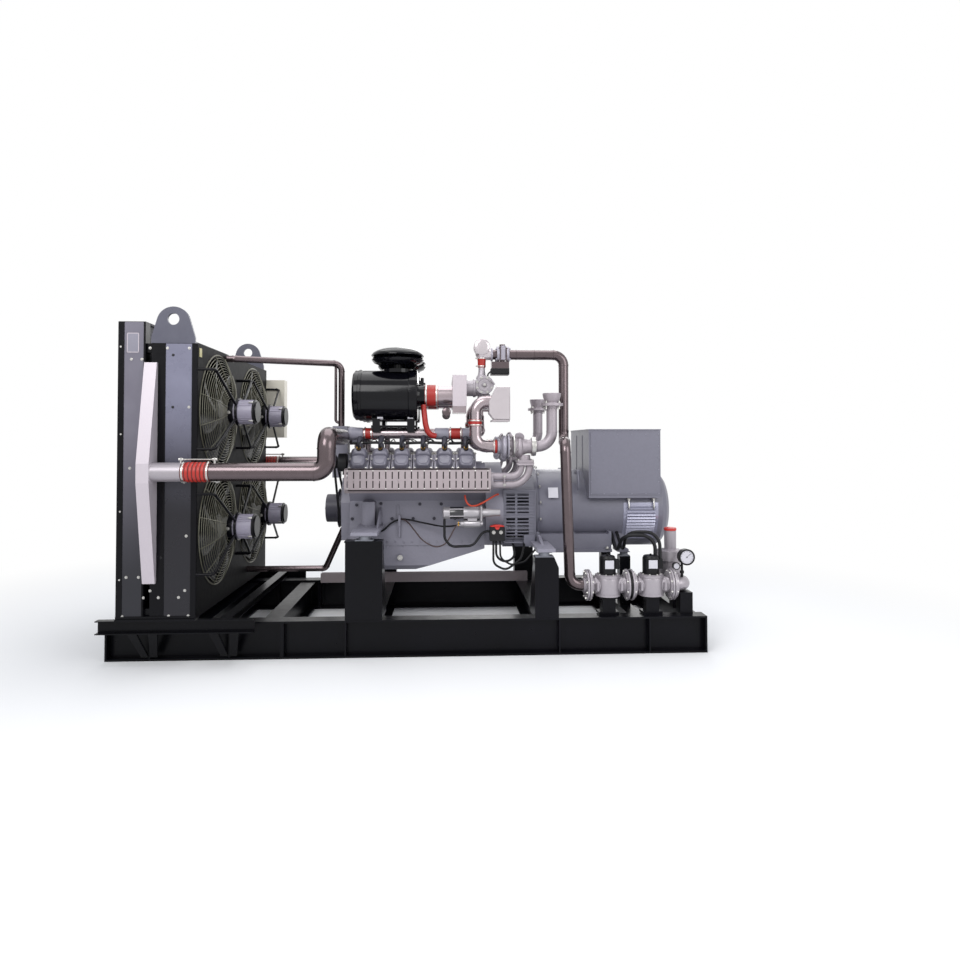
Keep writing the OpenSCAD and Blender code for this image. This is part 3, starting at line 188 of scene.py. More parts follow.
def tube(path, r, n=12):
    """Circle of radius r, one value or one per point, carried along a path: centre + r (cos a side + sin
    a up). Side is square to the tangent and to one fixed direction, the one that the path runs along
    least."""
    p = np.array(path, float)
    t = np.gradient(p, axis=0)
    t /= np.linalg.norm(t, axis=1)[:, None]
    tries = np.array([[1, 0, 0], [0, 1, 0], [0, 0, 1], [0.6, 0.8, 0], [0.6, 0, 0.8], [0, 0.6, 0.8],
                      [-0.6, 0.8, 0], [0.6, 0, -0.8]])
    s = np.cross(t, tries[np.argmin(np.abs(t @ tries.T).max(0))])
    s /= np.linalg.norm(s, axis=1)[:, None]
    u = np.cross(t, s)
    a = np.arange(n) / n * TAU
    r = np.broadcast_to(np.asarray(r, float), (len(p),))[:, None, None]
    return loft(p[:, None] + r * (np.cos(a)[None, :, None] * s[:, None]
                                  + np.sin(a)[None, :, None] * u[:, None]))


def join(*shapes):
    """Several shapes as one."""
    points, faces, at = [], [], 0
    for p, f in shapes:
        points.append(p)
        faces += [[i + at for i in face] for face in f]
        at += len(p)
    return np.concatenate(points), faces


def repeat(shape, places):
    """One shape set down at every place."""
    places = np.array(places, float).reshape(-1, 3)
    p, f = shape
    points = (p[None] + places[:, None]).reshape(-1, 3)
    return points, [[i + k * len(p) for i in face] for k in range(len(places)) for face in f]


def spun(shape, axis, degrees, at=(0, 0, 0)):
    """A shape turned about an axis through at."""
    a = math.radians(degrees)
    i, j = {"x": (1, 2), "y": (2, 0), "z": (0, 1)}[axis]
    p = shape[0] - np.array(at, float)
    q = p.copy()
    q[:, i] = p[:, i] * math.cos(a) - p[:, j] * math.sin(a)
    q[:, j] = p[:, i] * math.sin(a) + p[:, j] * math.cos(a)
    return q + np.array(at, float), shape[1]


def other_side(shape):
    """Mirror image across the set's middle plane."""
    return shape[0] * np.array([1, -1, 1]), shape[1]


def pair(shape):
    """A shape and its mirror image."""
    return join(shape, other_side(shape))


def bolts(axis, places, r=9, h=8, way=1, washer=True):
    """Hexagon bolt heads with washers, standing out of a face along the axis."""
    head = turned(axis, (0, 0, 0), [(0, r), (way * h * 0.8, r), (way * h, r * 0.86)], 6)
    disc = turned(axis, (0, 0, 0), [(0, r * 1.35), (way * 1.8, r * 1.35)], 16)
    return repeat(join(head, disc) if washer else head, places)


def circle_of(axis, at, pcd_r, count, turn=0.0):
    """Places on a bolt circle."""
    a = np.arange(count) / count * TAU + math.radians(turn)
    return axes(axis, 0.0, pcd_r * np.cos(a), pcd_r * np.sin(a)) + np.array(at, float)


def band(axis, at, r, width=12, screw=0.0):
    """Worm-drive hose clamp: a thin band with rolled edges and its screw housing at an angle in degrees."""
    w = width / 2
    strap = turned(axis, at, [(-w, r), (-w, r + 1.4), (-w + 1.5, r + 1.8), (w - 1.5, r + 1.8), (w, r + 1.4),
                              (w, r)], 44, loop=True)
    lug = turned("z" if axis == "x" else "x", (0, 0, 0), [(-13, 4.5), (-9, 5.5), (9, 5.5), (13, 4.5)], 10)
    lug = moved(lug, axes(axis, 0.0, r + 4.5, 0.0))
    return join(strap, spun(moved(lug, at), axis, screw, at))


def put(name, shape, material, body="set", replaces=(), sharp=32):
    """Makes the piece: closed shells with their faces outwards, smooth but for edges over an angle."""
    p, f = shape
    mesh = bpy.data.meshes.new(name)
    mesh.from_pydata((p * S).tolist(), [], f)
    work = bmesh.new()
    work.from_mesh(mesh)
    bmesh.ops.remove_doubles(work, verts=work.verts, dist=2e-6)
    bmesh.ops.recalc_face_normals(work, faces=work.faces)
    work.to_mesh(mesh)
    work.free()
    mesh.shade_smooth()
    mesh.set_sharp_from_angle(angle=math.radians(sharp))
    mesh.materials.append(material)
    obj = bpy.data.objects.new(name, mesh)
    scene.collection.objects.link(obj)
    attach(obj, body)
    if replaces:
        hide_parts(*replaces)
    return obj


def finish(name, low, high, grain_mm, rough, metallic=0.0, bump_mm=0.05, coat=0.0, stretch=(1, 1, 1),
           dirt=None, dirt_mm=400, specular=0.5, fade=None, grooves=None):
    """A finish whose colour drifts from low to high with a noise of grain_mm, under a second, slower noise
    of dirt_mm that leans towards the dirt colour; the same grain moves the roughness and the surface.
    fade = (colour, low place, high place) turns the colour towards the first below the high place, in mm, a
    painted reflection that falls off down the sheet; grooves = (colour, pitch, start) darkens it by cos^8 of
    the place along X, once each pitch, in mm, as painted shade in the grooves."""
    mat = bpy.data.materials.new(name)
    mat.use_nodes = True
    tree = mat.node_tree
    shader = tree.nodes["Principled BSDF"]
    where = add(tree, "ShaderNodeTexCoord").outputs["Object"]
    place = add(tree, "ShaderNodeMapping", values={"Scale": stretch}, links={"Vector": where}).outputs[0]
    grain = add(tree, "ShaderNodeTexNoise", links={"Vector": place},
                values={"Scale": 1000 / grain_mm, "Detail": 4.0, "Roughness": 0.6})
    base = add(tree, "ShaderNodeMix", {"data_type": "RGBA"}, {"A": linear(low), "B": linear(high)},
               {"Factor": grain.outputs["Fac"]})
    colour = base.outputs["Result"]
    if dirt:
        cloud = add(tree, "ShaderNodeTexNoise", values={"Scale": 1000 / dirt_mm, "Detail": 3.0},
                    links={"Vector": where})
        amount = add(tree, "ShaderNodeMapRange", values={"From Min": 0.45, "From Max": 0.75, "To Max": 0.55},
                     links={"Value": cloud.outputs["Fac"]})
        colour = add(tree, "ShaderNodeMix", {"data_type": "RGBA"}, {"B": linear(dirt)},
                     {"Factor": amount.outputs[0], "A": colour}).outputs["Result"]
    if fade:
        height = add(tree, "ShaderNodeSeparateXYZ", links={0: where}).outputs["Z"]
        amount = add(tree, "ShaderNodeMapRange", {"interpolation_type": "SMOOTHSTEP"},
                     {"From Min": fade[1] * S, "From Max": fade[2] * S, "To Min": 1.0, "To Max": 0.0},
                     {"Value": height})
        colour = add(tree, "ShaderNodeMix", {"data_type": "RGBA"}, {"B": linear(fade[0])},
                     {"Factor": amount.outputs[0], "A": colour}).outputs["Result"]
    if grooves:
        along = add(tree, "ShaderNodeSeparateXYZ", links={0: where}).outputs["X"]
        turn = add(tree, "ShaderNodeMath", {"operation": "MULTIPLY_ADD"},
                   {1: math.pi / (grooves[1] * S), 2: -math.pi * grooves[2] / grooves[1]}, {0: along})
        wave = add(tree, "ShaderNodeMath", {"operation": "COSINE"}, links={0: turn.outputs[0]})
        depth = add(tree, "ShaderNodeMath", {"operation": "POWER"}, {1: 8.0}, {0: wave.outputs[0]})
        colour = add(tree, "ShaderNodeMix", {"data_type": "RGBA"}, {"B": linear(grooves[0])},
                     {"Factor": depth.outputs[0], "A": colour}).outputs["Result"]
    tree.links.new(colour, shader.inputs["Base Color"])
    spread = add(tree, "ShaderNodeMapRange", links={"Value": grain.outputs["Fac"]},
                 values={"To Min": max(rough - 0.08, 0.04), "To Max": rough + 0.1})
    tree.links.new(spread.outputs[0], shader.inputs["Roughness"])
    lift = add(tree, "ShaderNodeBump", values={"Strength": 0.6, "Distance": bump_mm * S},
               links={"Height": grain.outputs["Fac"]})
    tree.links.new(lift.outputs[0], shader.inputs["Normal"])
    shader.inputs["Metallic"].default_value = metallic
    shader.inputs["Coat Weight"].default_value = coat
    shader.inputs["Coat Roughness"].default_value = 0.12
    if not metallic:
        shader.inputs["Specular IOR Level"].default_value = specular
    return mat


# Two-pack gloss black on rolled steel: deep, faintly blue, with slow orange peel and a film of grey dust
FRAME = finish("gloss_black_two_pack_paint", "#040407", "#07070c", 45, 0.3, coat=0.06,
               dirt="#0e0d15", dirt_mm=700, specular=0.12)
# The same black flattened on the fan side's folded sheet
SHROUD = finish("satin_black_sheet_paint", "#060608", "#0a0a0d", 40, 0.55, bump_mm=0.04, specular=0.07)
# Stoved satin blue-black paint on folded sheet: its lavender grey is a painted reflection of the sky, and the
# fade to near black towards the bottom is that painted reflection falling off
PANEL = finish("satin_blue_black_sheet", "#696672", "#74717c", 120, 0.34, bump_mm=0.04, coat=0.1,
               dirt="#5f5c68", fade=("#232329", 500, 1700), specular=0.3)
# Dark satin side sheet of the fan housing: mid grey above as a painted reflection, fading to near black
# towards the bottom
SIDE = finish("dark_satin_side_sheet", "#707082", "#7d7d90", 90, 0.28, bump_mm=0.04, coat=0.15,
              dirt="#666678", fade=("#17161d", 950, 1900), specular=0.3)
# The lifting lugs' thick plate: painted lighter than the frame as a painted highlight, where it takes the
# light better
LUG = finish("lug_plate_painted_highlight", "#4b4b58", "#565663", 60, 0.34, coat=0.12, specular=0.3)
# Bead-blasted aluminium weldment: pale, even, slightly grainy
TANK = finish("bead_blasted_aluminium", "#b3abb3", "#c5bdc4", 6, 0.45, metallic=0.25)
# Aluminium fin pack seen edge on: painted dark as painted shade in the slots between the fins, with streaks
# for their lighter edges
CORE = finish("aluminium_fin_pack", "#1b1b20", "#3c3c44", 4, 0.55, metallic=0.5, stretch=(1, 1, 9),
              bump_mm=0.5)
# Zinc plated guard wire, dulled to olive
WIRE = finish("dulled_zinc_wire", "#55544a", "#7d7b6d", 14, 0.4, metallic=0.5)
# Die-cast motor body in grey enamel
MOTOR = finish("grey_enamel_motor_casting", "#8a8596", "#a39eae", 12, 0.38, bump_mm=0.15, dirt="#7a7686")
# Glass-filled nylon fan blade, moulded, almost black
BLADE = finish("moulded_black_nylon", "#15151a", "#26262c", 8, 0.34, bump_mm=0.15)
# Powder-coated cabinet: warm light grey with a fine texture
CABINET = finish("textured_powder_coat", "#c9c4b6", "#dad5c8", 4, 0.5, bump_mm=0.12)
# Gloss black painted tube
BLACK_PIPE = finish("gloss_black_tube_paint", "#101014", "#1e1e25", 10, 0.2, bump_mm=0.12, coat=0.6)
# Pickled stainless tube: satin brown-grey with draw lines along it
STAINLESS = finish("pickled_stainless_tube", "#5e5456", "#685d60", 60, 0.22, metallic=0.9, bump_mm=0.0)
# Intake tube: the same stainless, painted brighter than the pickled pipes as a painted highlight where it
# catches the light
POLISHED = finish("stainless_tube_painted_highlight", "#9d9195", "#a99da1", 60, 0.2, metallic=0.85, bump_mm=0.0)
# Red silicone hose with a wrapped fabric face
SILICONE = finish("red_wrapped_silicone", "#8f1a14", "#a5231a", 4, 0.42, stretch=(3, 1, 1), bump_mm=0.1)
# Mid grey engine enamel over sand casting
ENGINE = finish("grey_enamel_sand_casting", "#7d7b87", "#8a8895", 14, 0.42, bump_mm=0.22, dirt="#6f6d79")
# Bare cast aluminium, pale and grainy
CAST = finish("sand_cast_aluminium", "#8a8792", "#a6a2ad", 7, 0.4, metallic=0.3, bump_mm=0.25, dirt="#787580")
# Galvanised sheet with a warm tint
GALVANISED = finish("galvanised_sheet", "#988d90", "#a99ea1", 22, 0.42, metallic=0.3, bump_mm=0.04)
# Heat-dulled exhaust steel, pale grey
EXHAUST = finish("heat_dulled_exhaust_steel", "#938c92", "#a89fa6", 18, 0.45, metallic=0.4, bump_mm=0.12,
                 dirt="#867d80")
# Black vulcanised rubber
RUBBER = finish("black_vulcanised_rubber", "#0a0a0d", "#131317", 5, 0.5, specular=0.3)
# Injection-moulded gloss black shell of the air filters
FILTER = finish("gloss_black_moulded_shell", "#050509", "#08080e", 60, 0.1, bump_mm=0.02, coat=0.2,
                specular=0.15)
# Slate grey enamel over cast iron and welded sheet
ALTERNATOR = finish("slate_grey_enamel", "#656470", "#6f6e7b", 18, 0.38, bump_mm=0.15, coat=0.12,
                    dirt="#5e5d68", dirt_mm=600)
# Gas valve die casting, warm silver
TRAIN = finish("die_cast_silver_alloy", "#958f95", "#aba5ab", 7, 0.36, metallic=0.4, bump_mm=0.08)
# Zinc plated fastener
ZINC = finish("zinc_plated_fastener", "#a9a7a4", "#d0cfcc", 6, 0.28, metallic=0.9)
# Natural grey rubber of the mounts
MOUNT = finish("grey_rubber_mount", "#6e7078", "#878992", 8, 0.5, bump_mm=0.2)
# Moulded cap and coil plastic, near black
CAP = finish("moulded_black_cap", "#09090c", "#101014", 9, 0.38, specular=0.25)
# Blank printed label stock: white, faintly glossy
LABEL = finish("blank_white_label", "#bdbbc3", "#cbc9d0", 30, 0.4, bump_mm=0.02)
# Rocker cover casting under thin grey enamel, lighter where the shot-blasted face shows
COVER = finish("grey_enamel_die_casting", "#6a6875", "#7a7885", 8, 0.34, bump_mm=0.15, coat=0.15,
               dirt="#5c5a66")
# Brass ferrule on an ignition boot
BRASS = finish("drawn_brass_ferrule", "#b98a3a", "#d9ad5c", 4, 0.25, metallic=1.0)
# Polished stainless cover sheet
SHINY = finish("polished_stainless_sheet", "#bbb3b7", "#c7c0c3", 80, 0.2, metallic=0.55, bump_mm=0.02)
# Folded aluminium sheet, brushed dull
SHEET = finish("brushed_aluminium_sheet", "#b4abb1", "#c5bcc2", 12, 0.42, metallic=0.3, bump_mm=0.04)
# Starter end castings, raw aluminium
STARTER = finish("raw_aluminium_end_casting", "#8e8b90", "#bcb8bc", 5, 0.34, metallic=0.6, bump_mm=0.3)
# Pale yellow plate, bare
YELLOW = finish("pale_yellow_plate", "#9a9254", "#aca465", 20, 0.4, bump_mm=0.02)
# Red moulded plastic
RED = finish("red_moulded_plastic", "#b3231f", "#cf3a30", 8, 0.35, bump_mm=0.1)
# The charge hose: the same silicone, with painted shade darkening the grooves between its five ribs
RIBBED = finish("red_ribbed_silicone", "#9c2018", "#b32b20", 4, 0.4, stretch=(3, 1, 1), bump_mm=0.1,
                grooves=("#3a0d0c", 25, -1435))
# A dark sheet behind the slotted shields, painted shade seen through their slots; and the damper's dark
# enamel, also used as painted shade on the intake runners and the block bolts
LAGGING = finish("dark_sheet_painted_slot_shade", "#1c1718", "#2a2324", 5, 0.8, bump_mm=0.2, specular=0.1)
DAMPER = finish("dark_grey_enamel_and_painted_shade", "#34333c", "#42404b", 12, 0.4, bump_mm=0.06, specular=0.3)
# The alternator's pressed cover: the same slate enamel, painted lighter as a painted highlight for the shine
# on its lips
LIPS = finish("slate_enamel_painted_highlight", "#85859a", "#a2a2b4", 9, 0.2, metallic=0.3, bump_mm=0.04, coat=0.5)
# Brown braided lead and orange silicone tube
LEAD = finish("brown_braided_lead", "#3a2c2c", "#4b3a39", 3, 0.55, bump_mm=0.08)
ORANGE = finish("orange_silicone_tube", "#b5341c", "#cf4a2b", 6, 0.4)

NODE_FINISH = {"vibration_mounts": MOUNT, "cable_tray": GALVANISED, "charge_air_core": CORE,
               "charge_air_tanks": TANK, "coolant_core": CORE, "fan_guards": WIRE, "fan_upper_near": BLADE,
               "fan_shroud": SHROUD, "fan_rings": SHROUD, "lifting_lugs": LUG, "fan_upper_far": BLADE,
               "fan_lower_near": BLADE, "fan_lower_far": BLADE, "junction_box": CABINET,
               "coolant_pipes": STAINLESS, "charge_air_pipes": STAINLESS, "silicone_hoses": SILICONE,
               "engine_block": ENGINE, "oil_pan": ENGINE, "front_cover": ENGINE, "crank_damper": DAMPER,
               "belt_drive": RUBBER, "flywheel_housing": ENGINE, "engine_feet": ENGINE,
               "cylinder_heads": CAST, "rocker_covers": CAST, "exhaust_manifolds": EXHAUST,
               "heat_shields": GALVANISED, "turbochargers": CAST, "exhaust_outlets": EXHAUST,
               "intake_manifold": POLISHED, "air_filter": FILTER, "rain_cap": FILTER,
               "intake_duct": POLISHED, "gas_mixer": CAST, "gas_pipe": STAINLESS,
               "starter_motor": BLACK_PIPE, "battery_switch": RUBBER, "alternator_frame": ALTERNATOR,
               "coupling_housing": ALTERNATOR, "end_bell": ALTERNATOR, "terminal_box": ALTERNATOR,
               "gas_valves": TRAIN, "gas_regulator": TRAIN, "starter_cable": RUBBER,
               "battery_cables": RUBBER, "coil_conduit": RUBBER}
for name, obj in nodes.items():
    mat = NODE_FINISH.get(name, FRAME)
    for slot in obj.material_slots:
        slot.material = mat

# Cables that hang between two ends: the first three replace CAD cables on the same points
def cable(name, path, r, material=RUBBER, replaces=()):
    """Round cable along a path in millimetres."""
    obj = put(name, tube(path, r, 14), material, replaces=replaces)


cable("starter_cables", bends([(214, -450, 892.7), (214, -450, 752), (262, -462, 694), (420, -462, 700),
                               (497, -405, 797), (542.7, -405, 797)], 72), 9,
      replaces=["starter_cable"])
cable("switch_cables", bends([(592, -405, 726.7), (592, -405, 578), (735, -426, 582), (724, -341.4, 678.4),
                              (724, -303.7, 711.3)], 66), 8.5, replaces=["battery_cables"])
cable("coil_conduits", bends([(1700, -640, 653.3), (1700, -640, 790), (1480, -600, 790), (1478, -430, 640),
                              (1478, -248.1, 764.8)], 96), 13, replaces=["coil_conduit"])
cable("second_conduit", bends([(1732, -650, 627), (1732, -640, 812), (1510, -590, 812), (1522, -430, 640),
                               (1522, -248.1, 764.8)], 96), 12)
cable("ground_cable", bends([(620, -405, 726.7), (622, -414, 600), (700, -440, 556), (800, -440, 580),
                             (870, -432, 660), (930, -400, 700), (960, -372, 706)], 60), 7)
cable("loop_cable", bends([(572, -400, 726.7), (570, -424, 560), (660, -452, 520), (770, -440, 600),
                           (800, -390, 690), (800, -352, 700)], 60), 8)
cable("sensor_lead", eased([(-118, -264, 880), (-60, -330, 862), (0, -390, 800), (60, -425, 735),
                            (146, -440, 693), (215, -448, 712), (255, -452, 765), (285, -454, 822),
                            (312, -454, 855), (329, -454, 859)], 4), 5, LEAD)
cable("red_oil_hose", eased([(362, -425, 1062), (368, -432, 1030), (384, -438, 1000), (412, -440, 985),
                             (450, -440, 990), (500, -432, 1012), (552, -400, 1040), (594, -354, 1058),
                             (613, -334, 1062)], 4), 7, ORANGE)

# Radiator end
FANS = {"fan_upper_near": (-450, 1664), "fan_upper_far": (450, 1664), "fan_lower_near": (-450, 850),
        "fan_lower_far": (450, 850)}
# Face of the fan panels, crankshaft height and half width of the radiator; a wheel sits behind the face
FAN_X, SHAFT_Z, RAD_Y = -1394, 935, 880
WHEEL_BEHIND = 16
# Foot of the radiator's columns, and the tops of the charge air side and of the fan side
RAD_FOOT, CHARGE_TOP, FAN_TOP = 306, 2232, 2092
BLADES, HUB_RIBS = 7, 14
GUARD_RINGS, GUARD_SPOKES = 17, 12


def fan_wheel(y, z):
    """Hub and twisted blades. A blade's section is an aerofoil, c/2 cos v long, t/2 sin v (1.3 + cos
    v)/1.6 thick, on a mean line arched by 0.07 c sin^2 v and turned by its pitch. From root to tip, u
    from 0 to 1, pitch and thickness fall and chord grows in proportion to u, and the blade sweeps back by
    0.22 u^1.6."""
    u = np.linspace(0, 1, 12)[:, None]
    v = np.arange(18)[None, :] / 18 * TAU
    r = 86 + (370 - 86) * u
    chord, thick, pitch = 118 + 42 * u, 9 - 5 * u, np.radians(29 - 10 * u)
    along = chord / 2 * np.cos(v)
    off = thick / 2 * np.sin(v) * (1.3 + np.cos(v)) / 1.6 + 0.07 * chord * np.sin(v) ** 2 - 4
    x = along * np.sin(pitch) + off * np.cos(pitch)
    a = (along * np.cos(pitch) - off * np.sin(pitch)) / r - 0.22 * u ** 1.6
    blade = loft(np.stack([x, r * np.cos(a), r * np.sin(a)], -1))
    hub = turned("x", (0, 0, 0), [(-28, 0), (-27, 30), (-22, 62), (-12, 80), (0, 87), (22, 88), (26, 84),
                                  (26, 60), (30, 58), (30, 0)], 48)
    ribs = join(*[spun(brick((-26, 40, -2), (24, 86, 2), 0.6), "x", k * 360 / HUB_RIBS)
                  for k in range(HUB_RIBS)])
    wheel = join(hub, ribs, *[spun(blade, "x", k * 360 / BLADES) for k in range(BLADES)])
    return moved(wheel, (FAN_X - WHEEL_BEHIND, y, z))


def guard(y, z):
    """Wire basket: rings of radius r at x = 4 + 82 (1 - ((r - 92) / 308)^1.8) out from the panel's face,
    spokes on the same curve, and a flat rim."""
    radii = np.linspace(400, 104, GUARD_RINGS)

    def curve(r):
        return 4 + 82 * (1 - (np.maximum(r - 92, 0) / 308) ** 1.8)

    rings = [hoop("x", (FAN_X + float(curve(r)), y, z), r, 2.2, 56, 5) for r in radii]
    r = np.linspace(401, 96, 10)
    spoke = tube(np.stack([curve(r) + 4, r, 0 * r], -1), 3.0, 6)
    spokes = [spun(moved(spoke, (FAN_X, y, z)), "x", 15 + k * 360 / GUARD_SPOKES, (0, y, z))
              for k in range(GUARD_SPOKES)]
    rim = turned("x", (FAN_X, y, z), [(0, 396), (0, 406), (3, 406), (3, 396)], 64, loop=True)
    return join(*rings, *spokes, rim)


for fan, (y, z) in FANS.items():
    put("blades_" + fan, fan_wheel(y, z), BLADE, body=fan, replaces=[fan], sharp=50)
put("wire_guards", join(*[guard(y, z) for y, z in FANS.values()]), WIRE, replaces=["fan_guards"])


def motor_shell(y, z):
    """Grey skin and cooling fins of a fan motor's body, and its terminal cover."""
    fins = [spun(brick((-1270, y - 1.2, z + 82), (-1150, y + 1.2, z + 87), 0.4), "x", a, (0, y, z))
            for a in range(0, 360, 12) if not 60 < a < 120]
    box = brick((-1236, y + 60, z - 34), (-1180, y + 96, z + 34), 4)
    body = turned("x", (0, y, z), [(-1276, 40), (-1276, 82), (-1273, 84.4), (-1134, 84.4),
                                   (-1134, 40)], 56, loop=True)
    return join(*fins, box, body)


def motor_cap(y, z):
    """Dark domed end cap with a rolled rim."""
    return turned("x", (0, y, z), [(-1144, 84), (-1142, 88), (-1137, 89), (-1131, 86), (-1127, 78),
                                   (-1124, 40), (-1124, 0)], 44)


put("motor_shells", join(*[motor_shell(y, z) for y, z in FANS.values()]), MOTOR)
put("motor_caps", join(*[motor_cap(y, z) for y, z in FANS.values()]), CAP)
put("motor_bolts", join(
    *[bolts("x", circle_of("x", (-1138, y, z), 92, 4, 45), 6, 30, -1) for y, z in FANS.values()],
    *[bolts("y", [(-1300, y - 88, z - 6)], 9, 9, -1) for y, z in FANS.values()]), ZINC)

# Bolts down the columns and along the base, on both sides
column_bolts = [(-1886, 2069), (-1700, 2062), (-1590, 2062), (-1450, 2062), (-1450, 1677), (-1460, 840),
                (-1686, 488), (-1466, 488), (-1729, 444), (-1633, 444), (-1505, 444), (-1880, 1500),
                (-1880, 1000), (-1880, 560), (-1838, 576), (-1760, 576), (-1819, 1988), (-1752, 1988),
                (-1822, 1280), (-1861, 325), (-1567, 325), (-1443, 325)]
put("column_bolts", pair(bolts("y", [(x, -RAD_Y - 0.9, z) for x, z in column_bolts], 7, 6, -1)), ZINC)
put("column_plugs", pair(repeat(
    turned("y", (0, 0, 0), [(0, 9), (-2, 9), (-3, 6)], 20),
    [(-1553, -RAD_Y, 2017), (-1553, -RAD_Y, 1677), (-1620, -RAD_Y, 700)])), RUBBER)
put("bare_column_plate", brick((-1846, -RAD_Y - 2, 2034), (-1774, -RAD_Y, 2158), 0.5), ENGINE)
put("column_plate_rim", join(*[
    brick((x0, -RAD_Y - 2.6, z0), (x1, -RAD_Y - 1.8, z1), 0.2)
    for x0, z0, x1, z1 in ((-1848, 2032, -1844, 2160), (-1776, 2032, -1772, 2160),
                           (-1848, 2032, -1772, 2036), (-1848, 2156, -1772, 2160))]), SHEET)
put("bare_yellow_plate", brick((-1393.5, -860, 2010), (-1392, -812, 2068), 0.4), YELLOW)
# Thin sheets on the charge air columns' faces that carry the painted reflection
put("charge_panels", pair(brick((-1866, -RAD_Y - 1.2, RAD_FOOT), (-1740, -RAD_Y, CHARGE_TOP), 0.4)), PANEL)
# Thin sheets on the fan side's faces that carry the same painted reflection, darker towards the bottom
put("side_sheets", pair(brick((-1602, -RAD_Y - 0.8, RAD_FOOT + 2), (-1430, -RAD_Y, FAN_TOP), 0.3)), SIDE)
put("column_flanges", pair(join(
    *[brick((x0, -RAD_Y - proud, RAD_FOOT), (x1, -RAD_Y, top), edge) for x0, x1, proud, top, edge in (
        (-1903, -1864, 5, CHARGE_TOP, 1.2), (-1742, -1733, 4, CHARGE_TOP, 1),
        (-1610, -1600, 5, FAN_TOP, 1), (-1432, -1396, 6, FAN_TOP, 1.2))])), FRAME)

# Charge air core seen from the front: flat tubes in a row between two headers
TUBE_PITCH = 22.5
put("core_tubes", repeat(brick((-1892, -1.3, 372), (-1887, 1.3, 2172), 0.3),
                         [(0, y, 0) for y in np.arange(-787.5, 788, TUBE_PITCH)]), SHEET)
put("core_headers", join(
    brick((-1902, -809, 308), (-1888, 809, 372), 1.5),
    brick((-1902, -809, 2172), (-1888, 809, 2221), 1.5),
    *[brick((-1900, y - 9, 368), (-1888, y + 9, 2176), 1) for y in (-799, 0, 799)]), FRAME)

# Thin vent line beside the coolant pipe's down leg
put("vent_line", tube(bends([(-637, 0, 2046), (-637, 0, 1612), (-588, 0, 1590)], 22), 11, 14), STAINLESS)

# Hoses
# Centre lines of the charge pipe, intake pipe, air filter and turbocharger, the same on either side
CHARGE_Y, CHARGE_Z = 948, 1257
INTAKE_Y, INTAKE_Z = 250, 1513
FILTER_Y, FILTER_Z = 250, 1799
TURBO_Y, TURBO_Z = 388, 1417
CHARGE_AT = (0, -CHARGE_Y, CHARGE_Z)
INTAKE_AT = (0, -INTAKE_Y, INTAKE_Z)
FILTER_AT = (0, -FILTER_Y, FILTER_Z)
# Place along the set of the hose joints on each line
CHARGE_CLAMPS, INTAKE_CLAMPS, FILTER_CLAMPS = (-1450, -1295), (-381, -331, 257, 337), (75, 155)


def ribbed(x0, x1, at, inner, outer, ribs):
    """Corrugated hose: its outer radius is root + height |sin(ribs pi t)|^0.6 along the middle, between
    plain cuffs."""
    cuff = 26
    t = np.linspace(0, 1, ribs * 8 + 1)
    x = x0 + cuff + (x1 - x0 - 2 * cuff) * t
    r = inner + 1.2 + (outer - inner - 1.2) * np.abs(np.sin(t * ribs * math.pi)) ** 0.6
    out = [(x0, inner + 3), *zip(x, r), (x1, inner + 3)]
    return turned("x", at, [(x0, inner), *out, (x1, inner)], 56, loop=True)


def plain(x0, x1, at, inner, wall=4.6):
    """Straight hose sleeve with rounded lips."""
    return turned("x", at, [(x0, inner), (x0, inner + wall - 1.5), (x0 + 2, inner + wall),
                            (x1 - 2, inner + wall), (x1, inner + wall - 1.5), (x1, inner)], 48, loop=True)


put("charge_hoses", pair(ribbed(-1461, -1284, CHARGE_AT, 60.3, 64.8, 5)), RIBBED)
hoses = pair(join(
    plain(-390, -322, INTAKE_AT, 37.8), plain(248, 346, INTAKE_AT, 37.8),
    plain(65, 165, FILTER_AT, 76.3, 5),
    turned("z", (438, -TURBO_Y, 1590), [(-24, 45), (-24, 49), (-21, 50.5), (21, 50.5), (24, 49),
                                        (24, 45)], 44, loop=True),
    plain(572, 600, (0, -TURBO_Y, TURBO_Z), 45, 5.5)))
put("silicone_sleeves", hoses, SILICONE, replaces=["silicone_hoses"])
put("hose_clamps", pair(join(
    *[band("x", (x, -CHARGE_Y, CHARGE_Z), 62.4, 12, 118) for x in CHARGE_CLAMPS],
    *[band("x", (x, -INTAKE_Y, INTAKE_Z), 42.4, 11, 60) for x in INTAKE_CLAMPS],
    *[band("x", (x, -FILTER_Y, FILTER_Z), 81.3, 13, 70) for x in FILTER_CLAMPS],
    *[band("z", (438, -TURBO_Y, z), 50.3, 10, 30) for z in (1574, 1606)],
    band("x", (577, -TURBO_Y, TURBO_Z), 50.3, 9, 120))), ZINC)
# Tie rods that stop the charge air hose from being pushed apart
tie_rod = join(
    tube([(-1476, -CHARGE_Y, 1338), (-1256, -CHARGE_Y, 1338)], 4.5, 10),
    *[brick((x - 5, -CHARGE_Y - 9, CHARGE_Z + 58), (x + 5, -CHARGE_Y + 9, CHARGE_Z + 92), 1)
      for x in (-1472, -1260)],
    *[turned("x", (x, -CHARGE_Y, 1338), [(-5, 9), (5, 9)], 6) for x in (-1482, -1462, -1270, -1250)])
put("hose_tie_rods", pair(join(*[spun(tie_rod, "x", a, CHARGE_AT) for a in (0, -140)])), ZINC)
put("charge_stub_sleeves", pair(join(
    turned("x", CHARGE_AT, [(-1662, 60.2), (-1662, 61.4), (-1463, 61.4), (-1463, 60.2)], 56, loop=True),
    turned("x", CHARGE_AT, [(-1656, 61), (-1652, 64.5), (-1646, 61)], 56, loop=True))), TRAIN)

# Engine
# Places of the cylinders along the shaft, and height of the heads' top up the bank
BANK = [-413.5 + 157 * i for i in range(6)]
DECK = 520
